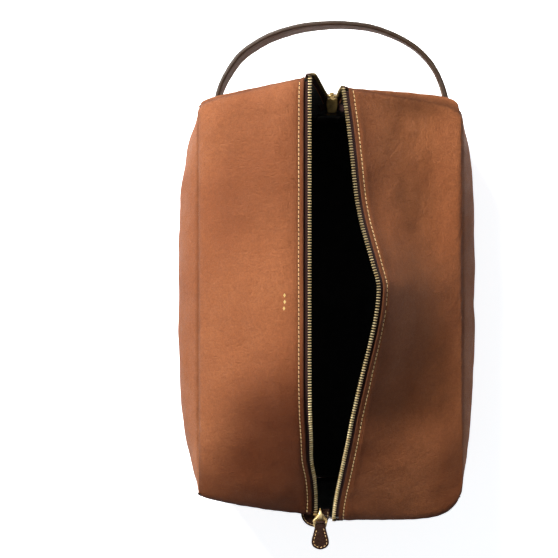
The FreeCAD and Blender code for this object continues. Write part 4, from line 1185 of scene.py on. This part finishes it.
def smooth_outline(pts, n=8):
    """Rounds a coarse outline (Chaikin)."""
    p = np.asarray(pts, float)
    for _ in range(3):
        a, b = p, np.roll(p, -1, 0)
        p = np.stack([a * 0.75 + b * 0.25, a * 0.25 + b * 0.75], 1).reshape(-1, 2)
    return p


plates = [(-3.9, -7.5), (3.9, -7.5), (4.5, -4.5), (5.1, -1.5), (5.2, 4.6), (4.9, 7.0), (2.6, 7.5), (0, 6.4), (-2.6, 7.5), (-4.9, 7.0), (-5.2, 4.6), (-5.1, -1.5), (-4.5, -4.5)]
SP, SG = 1.6, 4.3
ZTOP = 2 * SP + SG


CROWN = [(-4.0, -7.5), (4.0, -7.5), (5.8, -4.5), (6.5, -1.2), (6.1, 1.6), (4.4, 4.6), (2.4, 7.0), (0, 7.6), (-2.4, 7.0), (-4.4, 4.6), (-6.1, 1.6), (-6.5, -1.2), (-5.8, -4.5)]


def slider_piece(word, place, mat):
    obs = []
    out = smooth_outline(CROWN if word == "front" else plates)
    obs.append(slab("sl_a", out, 0.0, SP, 0.55, [mat], place, 0.0))
    obs.append(slab("sl_b", out, SP + SG, ZTOP, 0.6, [mat], place, 0.25))
    # side rails that hold the teeth in, open at the mouth
    for sx in (-1, 1):
        if word == "front":
            rail = smooth_outline([(sx * 5.2, -3.8), (sx * 6.2, -1.8), (sx * 5.9, 1.2), (sx * 4.9, 2.6), (sx * 5.2, 0.0)])
        else:
            rail = smooth_outline([(sx * 4.3, -3.4), (sx * 5.05, -1.4), (sx * 5.1, 4.2), (sx * 4.5, 4.8), (sx * 4.4, 0.0)])
        obs.append(slab("sl_r", rail, 1.0, 2.3, 0.15, [mat], place))
        obs.append(slab("sl_r", rail, ZTOP - 2.3, ZTOP - 1.0, 0.15, [mat], place))
    wedge = smooth_outline([(0, -2.0), (1.9, 3.2), (1.6, 6.8), (-1.6, 6.8), (-1.9, 3.2)])
    obs.append(slab("sl_w", wedge, 0.9, ZTOP - 0.9, 0.2, [mat], place))
    # crown bridge: a swept bar over the top plate
    prof = [(3.6, ZTOP - 0.5), (3.55, ZTOP + 1.6), (3.9, ZTOP + 3.6), (5.4, ZTOP + 4.45), (7.4, ZTOP + 4.5), (9.0, ZTOP + 3.9), (11.0, ZTOP + 2.6), (12.6, ZTOP + 1.5), (13.2, ZTOP + 1.25)]
    if word == "rear":
        prof = [(3.6, ZTOP - 0.5), (3.55, ZTOP + 1.6), (3.9, ZTOP + 3.6), (5.4, ZTOP + 4.45), (7.2, ZTOP + 4.3), (8.0, ZTOP + 3.2), (8.0, ZTOP + 1.4), (7.4, ZTOP - 0.4)]
    path = np.asarray(polyline([(0, y, z) for y, z in prof], 0.35))
    rings = []
    T = unit(np.gradient(path, axis=0))
    n = 12
    for i, (p, t) in enumerate(zip(path, T)):
        k = i / (len(path) - 1)
        w = 1.4 + 0.6 * math.sin(math.pi * min(1, k * 1.1)) if k < 0.55 or word == "rear" else 1.65 * (1 - (k - 0.55) / 0.45) + 0.3
        h = 0.62 if k < 0.8 else 0.62 - 0.3 * (k - 0.8) / 0.2
        up = np.cross(np.array([1.0, 0, 0]), t)
        rings.append([p + np.array([1.0, 0, 0]) * w * np.sign(math.cos(a)) * abs(math.cos(a)) ** 0.7 + up * h * np.sign(math.sin(a)) * abs(math.sin(a)) ** 0.7 for a in np.linspace(0, 2 * math.pi, n + 1)[:-1]])
    V, F = lathe_like(rings)
    V = place(np.asarray(V))
    obs.append(make_mesh("sl_c", V, F, [mat], None, {"edge": np.zeros(len(V))}))
    ob = join("slider_" + word, obs)
    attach(ob, word + "_slider")
    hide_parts("slider_body_" + word)
    return ob


def ring_points(w, l, y0, z, r=2.0, n=8):
    """Centre line of the D shaped wire: straight bar in the bridge, round far end."""
    pts = []
    top, low = 2.3, w / 2
    for cx_, cy_, a0, a1, rad in ((top - 0.9, y0 - 0.9, 90, 20, 0.9), (low - 1.5, y0 - l + 1.5, 20, -90, 1.5), (-low + 1.5, y0 - l + 1.5, -90, -200, 1.5), (-top + 0.9, y0 - 0.9, 160, 90, 0.9)):
        for a in np.linspace(a0, a1, n):
            pts.append((cx_ + rad * math.cos(math.radians(a)), cy_ + rad * math.sin(math.radians(a)), z))
    return np.array(pts)


LINK_Z = ZTOP + 2.5
LINK_Y = 6.5 - 0.75
LW, LL = 13.6 - 1.5, 7.5 - 1.5


def link_piece(word, place, mat):
    base = ring_points(LW, LL, LINK_Y, LINK_Z)
    d = np.linalg.norm(np.roll(base, -1, 0) - base, axis=1)
    fine = []
    for i in range(len(base)):
        a, b = base[i], base[(i + 1) % len(base)]
        m = max(1, int(d[i] / 0.6))
        fine += [a + (b - a) * k / m for k in range(m)]
    P = place(np.array(fine))
    ob = tube("link_" + word, P, 0.95, [mat], n=12, closed=True)
    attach(ob, word + "_link")
    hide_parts("slider_link_" + word)
    return ob


def tab_outline(shrink=0.0, n=40):
    y_top = LINK_Y - LL - 0.2
    L = 24.6
    pts = []
    for k in np.linspace(0, 1, n):
        y = y_top - L * k
        w = np.interp(k, [0, 0.06, 0.12, 0.22, 0.4, 0.6, 0.74, 0.84, 0.92, 0.97, 1.0], [4.2, 4.9, 5.05, 5.4, 6.5, 7.9, 8.25, 7.6, 5.7, 3.4, 0.0])
        pts.append((max(0.0, w - shrink), y))
    right = np.array(pts)
    left = right[::-1].copy()
    left[:, 0] *= -1
    out = np.concatenate([right, left[1:-1]])
    return out


def tab_piece(word, place, mat):
    th = 3.0
    out = tab_outline()
    # even spacing for clean bevels
    d = np.concatenate([[0], np.cumsum(np.linalg.norm(np.diff(np.vstack([out, out[:1]]), axis=0), axis=1))])
    q = np.linspace(0, d[-1], 121)[:-1]
    cl = np.vstack([out, out[:1]])
    out = np.stack([np.interp(q, d, cl[:, 0]), np.interp(q, d, cl[:, 1])], 1)
    for _ in range(3):
        out = (np.roll(out, 1, 0) + 2 * out + np.roll(out, -1, 0)) / 4
    a = slab("tab_leather_" + word, out, LINK_Z - th / 2, LINK_Z - 0.06, 0.55, [mat], place)
    b = slab("tab_leather_b", out, LINK_Z + 0.06, LINK_Z + th / 2, 0.6, [mat], place, 0.25)
    # the fold round the wire
    n = 26
    rings = []
    yb = LINK_Y - LL
    for a_ in np.linspace(-95, 95, 23):
        c, s_ = math.cos(math.radians(a_)), math.sin(math.radians(a_))
        ring = []
        for x, r in ((-4.3, 1.5), (-4.5, 1.75), (-4.2, 2.0), (-2, 2.1), (2, 2.1), (4.2, 2.0), (4.5, 1.75), (4.3, 1.5), (4.0, 1.02), (-4.0, 1.02)):
            ring.append((x, yb + c * r, LINK_Z + s_ * r))
        rings.append(ring)
    V, F = lathe_like(rings)
    fold = make_mesh("tab_fold", place(np.asarray(V, float)), F, [mat], None, {"edge": np.zeros(len(V))})
    ob = join("tab_" + word, [a, b, fold])
    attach(ob, word + "_tab")
    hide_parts("pull_tab_" + word)
    # painted line where the two layers meet, and stitches round both faces
    o2 = np.c_[out, np.full(len(out), LINK_Z)]
    core = slab("tab_edge_" + word, out * 0.985 + np.array([0, out[:, 1].mean() * 0.015]), LINK_Z - 0.5, LINK_Z + 0.5, 0.2, [PAINT], place)
    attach(core, word + "_tab")
    nxt, prv = np.roll(out, -1, 0), np.roll(out, 1, 0)
    t = unit(nxt - prv)
    nr = np.stack([t[:, 1], -t[:, 0]], 1)
    cen = out.mean(0)
    if np.sum(nr * (out - cen)) < 0:
        nr = -nr
    ins = out - nr * 2.1
    start = int(np.argmax(ins[:, 1] - 0.2 * ins[:, 0]))
    path = np.roll(ins, -start, 0)
    path = path[path[:, 1] < ins[:, 1].max() - 2.2]
    for sgn in (1, -1):
        P3 = np.c_[path, np.full(len(path), LINK_Z + sgn * (th / 2 + 0.02))]
        o_ = np.array([[0, 0, 0.0]])
        Pw = place(P3)
        nw = place(np.array([[0, 0, float(sgn)]])) - place(o_)
        st = stitches("stitch_tab_%s_%s" % (word, "a" if sgn > 0 else "b"), Pw, np.tile(nw, (len(Pw), 1)), CREAM, 1.9, 0.33, 3.3, 0.08, False)
        place_stitches(st, word + "_tab")
    return ob


front = placer((FX, FY0, FZ), (1, 0, 0), (0, 1, 0), (0, 0, 1))
half = SP + SG / 2
ct, st_ = math.cos(math.radians(33.0)), math.sin(math.radians(33.0))
RY, RZ = 184.7, 103.5
rear = placer((RX, RY - half * st_, RZ + half * ct), (-1, 0, 0), (0, ct, st_), (0, st_, -ct))
# the rear link and tab hang straight down from the bridge
bar = rear(np.array([[0.0, LINK_Y, LINK_Z]]))[0]
down = placer(bar - np.array([0, 0, 1.0]) * -0.0, (-1, 0, 0), (0, 0, 1), (0, 1, 0))


def rear_hang(V):
    W = V - np.array([0.0, LINK_Y, LINK_Z])
    return down(W)


slider_piece("front", front, BRASS)
slider_piece("rear", rear, BRASS_DIM_SHADE)
link_piece("front", front, BRASS)
link_piece("rear", rear_hang, BRASS)
tab_piece("front", front, DARK)
tab_piece("rear", rear_hang, DARK)

# ------------------------------------------------------------------ dark half round patch under the front slider
lo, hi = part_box("zip_end_patch_front")
pcx, pw = (lo.x + hi.x) / 2 / MM, (hi.x - lo.x) / 2 / MM
yb, yf = -196.5, lo.y / MM
pts = [(pcx - pw, yb), (pcx - pw, yf + pw * 0.95)]
for a in np.linspace(180, 360, 40):
    pts.append((pcx + pw * math.cos(math.radians(a)), yf + pw * 0.95 + pw * 0.95 * math.sin(math.radians(a))))
pts += [(pcx + pw, yb)]
base = np.array(pts)
d = np.concatenate([[0], np.cumsum(np.linalg.norm(np.diff(np.vstack([base, base[:1]]), axis=0), axis=1))])
q = np.linspace(0, d[-1], 141)[:-1]
cl = np.vstack([base, base[:1]])
base = np.stack([np.interp(q, d, cl[:, 0]), np.interp(q, d, cl[:, 1])], 1)
pt = slab("end_patch", base, lo.z / MM, hi.z / MM + 0.1, 0.7, [DARK], None, 0.2)
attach(pt, "body")
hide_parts("zip_end_patch_front", "zip_tail_front")
arc = [(pcx - pw + 1.9, yb - 1)] + [(pcx + (pw - 1.9) * math.cos(math.radians(a)), yf + pw * 0.95 + (pw * 0.95 - 1.9) * math.sin(math.radians(a))) for a in np.linspace(180, 360, 30)] + [(pcx + pw - 1.9, yb - 1)]
P = polyline([(x, y, hi.z / MM + 0.12) for x, y in arc], 0.5)
place_stitches(stitches("stitch_patch", P, np.tile([0, 0, 1.0], (len(P), 1)), CREAM, 2.0, 0.28, 2.9, 0.05), "body")

# rear: brass bottom stop and tape tail keep their shapes, with better materials
# The rear stop takes the darker brass copy: painted shade.
for n_, m_ in (("zip_stop_rear", BRASS_DARK_SHADE), ("zip_tail_rear", TAPE), ("bottom_board", BOARD)):
    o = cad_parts[n_]
    o.data.materials.clear()
    o.data.materials.append(m_)

# three little foil lozenges where the owner's mark goes
foil = []
G = SURF[-1]


def on_left(x, y):
    """Outer surface point and normal of the left top panel under a place in plan."""
    d2 = (G["outer"][..., 0] - x) ** 2 + (G["outer"][..., 1] - y) ** 2
    i, j = np.unravel_index(np.argmin(d2), d2.shape)
    return G["outer"][i, j], G["N"][i, j]


fr = []
for yy in (-5.5, 0.5, 6.5):
    p, n = on_left(-45.2, yy - 1.2)
    t = np.array([0, 1.0, 0])
    t = unit(t - n * np.dot(t, n))
    b = np.cross(t, n)
    fr.append((p + n * 0.02, t * 1.9, b * 1.25, n * 0.10))
loz = []
for z_, r_ in ((-1, 1.0), (0.6, 1.0), (1.0, 0.82)):
    loz.append([(r_, 0, z_), (0, r_, z_), (-r_, 0, z_), (0, -r_, z_)])
LV, LF = lathe_like(loz)
fo = instances("foil_lozenges", LV, LF, fr, [FOIL], flat=True)
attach(fo, "left_flap")

# ------------------------------------------------------------------ handle
CENTRE = [(-109.6, 186.6), (-107.2, 195.5), (-98.8, 214.5), (-87.2, 230.7), (-68.0, 245.0), (-39.5, 256.5), (-10.9, 261.4), (12.9, 262.0), (36.8, 259.3), (65.4, 249.0), (84.4, 236.4), (98.4, 219.3), (106.0, 202.0), (109.4, 186.6)]
path = polyline([(x, y, HZ) for x, y in [(-110.6, 181.0)] + CENTRE + [(110.2, 181.0)]], 1.5)
T = unit(np.gradient(path, axis=0))
n = len(path)
k = np.linspace(0, 1, n)
lean = np.radians(hermite([0, 0.06, 0.2, 0.4, 0.55, 0.8, 0.94, 1], [0, -5.0, -8.5, -6.0, -1.0, 5.0, 4.0, 0], k))
Wd, Ht = 4.3, 22.0
sec = []
for a in np.linspace(0, 2 * math.pi, 61)[:-1]:
    c, s_ = math.cos(a), math.sin(a)
    e = 0.28
    px = Wd / 2 * np.sign(c) * abs(c) ** e
    pz = Ht / 2 * np.sign(s_) * abs(s_) ** e
    sec.append((px, pz))
# even the section: two faces, two rounded edges
sec = []
m_face, m_edge = 19, 9
for z_ in np.linspace(-Ht / 2 + 1.6, Ht / 2 - 1.6, m_face):
    sec.append((Wd / 2, z_))
for a in np.linspace(0, 180, m_edge + 2)[1:-1]:
    sec.append((Wd / 2 * math.cos(math.radians(a)), Ht / 2 - 1.6 + 1.6 * math.sin(math.radians(a)) ** 0.8))
for z_ in np.linspace(Ht / 2 - 1.6, -Ht / 2 + 1.6, m_face):
    sec.append((-Wd / 2, z_))
for a in np.linspace(180, 360, m_edge + 2)[1:-1]:
    sec.append((Wd / 2 * math.cos(math.radians(a)), -Ht / 2 + 1.6 - 1.6 * abs(math.sin(math.radians(a))) ** 0.8))
sec = np.array(sec)
edge_w = np.clip((np.abs(sec[:, 1]) - (Ht / 2 - 1.9)) / 0.6, 0, 1)
groove_w = np.exp(-(((np.abs(sec[:, 1]) - (Ht / 2 - 3.4)) / 0.7) ** 2)) * (np.abs(sec[:, 0]) > Wd / 2 - 0.01)
V, uvs, ed = [], [], []
length = np.concatenate([[0], np.cumsum(np.linalg.norm(np.diff(path, axis=0), axis=1))])
for i in range(n):
    side_v = unit(np.cross(T[i], np.array([0, 0, 1.0])))
    up = np.array([0, 0, 1.0]) * math.cos(lean[i]) + side_v * math.sin(lean[i])
    out = side_v * math.cos(lean[i]) - np.array([0, 0, 1.0]) * math.sin(lean[i])
    wav = 0.14 * math.sin(length[i] * 0.19) + 0.1 * math.sin(length[i] * 0.53 + 1)
    for (px, pz), gw, ew in zip(sec, groove_w, edge_w):
        px2 = px - np.sign(px) * 0.22 * gw
        # layer lines show on the painted edges
        layer = 0.16 * (math.exp(-((abs(px) - 0.75) / 0.16) ** 2)) * (1 if ew > 0.3 else 0)
        V.append(path[i] + out * (px2 + wav * 0.5) + up * (pz - np.sign(pz) * layer))
        ed.append(ew)
m = len(sec)
F, FM = [], []
for i in range(n - 1):
    for j in range(m):
        j2 = (j + 1) % m
        F.append([i * m + j, i * m + j2, (i + 1) * m + j2, (i + 1) * m + j])
        FM.append(1 if edge_w[j] > 0.3 or edge_w[j2] > 0.3 else 0)
F.append(list(range(m))[::-1])
F.append([(n - 1) * m + j for j in range(m)])
FM += [0, 0]
strap = make_mesh("handle_strap", V, F, [STRAP, STRAP_EDGE], FM, {"edge": np.array(ed) * 0.6})
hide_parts("handle_strap_inner", "handle_strap_core", "handle_strap_outer", "handle_end_tabs")
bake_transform(strap)
for sgn, tag in ((1, "out"), (-1, "in")):
    for zz_, tg in ((Ht / 2 - 3.4, "top"), (-Ht / 2 + 3.4, "low")):
        P, N = [], []
        for i in range(6, n - 6):
            side_v = unit(np.cross(T[i], np.array([0, 0, 1.0])))
            up = np.array([0, 0, 1.0]) * math.cos(lean[i]) + side_v * math.sin(lean[i])
            out = side_v * math.cos(lean[i]) - np.array([0, 0, 1.0]) * math.sin(lean[i])
            P.append(path[i] + out * (sgn * (Wd / 2 - 0.2)) + up * zz_)
            N.append(out * sgn)
        for o in stitches("stitch_strap_%s_%s" % (tag, tg), np.array(P), np.array(N), BROWN_THREAD, 2.7, 0.34, 3.6, 0.12, False):
            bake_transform(o)

# little leather keepers where the strap enters the corner seams
for sx in (-1, 1):
    xk = -110.2 if sx < 0 else 109.9
    ys = (183.6, 189.4)
    outl = np.array([(xk - 3.3, ys[0]), (xk + 3.3, ys[0]), (xk + 3.1, ys[1]), (xk - 3.1, ys[1])])
    outl = smooth_outline(outl)
    kp = slab("strap_keeper_%s" % ("left" if sx < 0 else "right"), outl, HZ - 12.2, HZ + 12.2, 0.9, [TAN])
    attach(kp, "body")

# ------------------------------------------------------------------ stage, light, camera
flo = bpy.data.meshes.new("studio_floor")
flo.from_pydata([(-40, -40, -0.0003), (40, -40, -0.0003), (40, 40, -0.0003), (-40, 40, -0.0003)], [], [(0, 1, 2, 3)])
fm_ = Mat("studio_white")
fn = fm_.noise(3.0, 2.0)
fm_.link(fm_.ramp(fn, (0.93, 0.935, 0.945, 1), (0.95, 0.95, 0.955, 1)), fm_.b.inputs["Base Color"])
fm_.b.inputs["Roughness"].default_value = 0.9
fm_.b.inputs["Emission Color"].default_value = (0.96, 0.98, 1.0, 1)
lp = fm_.node("ShaderNodeLightPath")
fm_.link(fm_.math("MULTIPLY", lp.outputs["Is Camera Ray"], 0.84), fm_.b.inputs["Emission Strength"])
fm_.b.inputs["Specular IOR Level"].default_value = 0.1
flo.materials.append(fm_.m)
floor = bpy.data.objects.new("studio_floor", flo)
scene.collection.objects.link(floor)

world = bpy.data.worlds.new("studio")
scene.world = world
world.use_nodes = True
bg = world.node_tree.nodes["Background"]
bg.inputs[0].default_value = (0.93, 0.96, 1.0, 1)
bg.inputs[1].default_value = 0.17


def area(name, loc, aim, size, power, colour=(1, 1, 1)):
    l = bpy.data.lights.new(name, "AREA")
    l.energy = power
    l.shape = "RECTANGLE"
    l.size, l.size_y = size
    l.color = colour
    o = bpy.data.objects.new(name, l)
    o.location = loc
    o.rotation_euler = (Vector(aim) - Vector(loc)).to_track_quat("-Z", "Y").to_euler()
    scene.collection.objects.link(o)
    return o


area("key", (-1.02, 1.38, 1.46), (0, 0, 0.08), (0.75, 0.75), 112.0, (1.0, 0.99, 0.965))
area("fill", (1.6, -0.9, 1.9), (0, 0, 0.05), (1.6, 1.6), 3.0, (0.95, 0.97, 1.0))

scene.view_settings.view_transform = "Standard"
scene.view_settings.look = "None"

cam = bpy.data.cameras.new("camera")
cam.sensor_width = 36.0
cam.sensor_fit = "HORIZONTAL"
cam.lens = 36.0 * 1484.0 / 558.0
cam.clip_end = 50
co = bpy.data.objects.new("camera", cam)
co.location = (-0.050, 0.020, 1.500)
co.rotation_euler = (0, 0, 0)
scene.collection.objects.link(co)
scene.camera = co
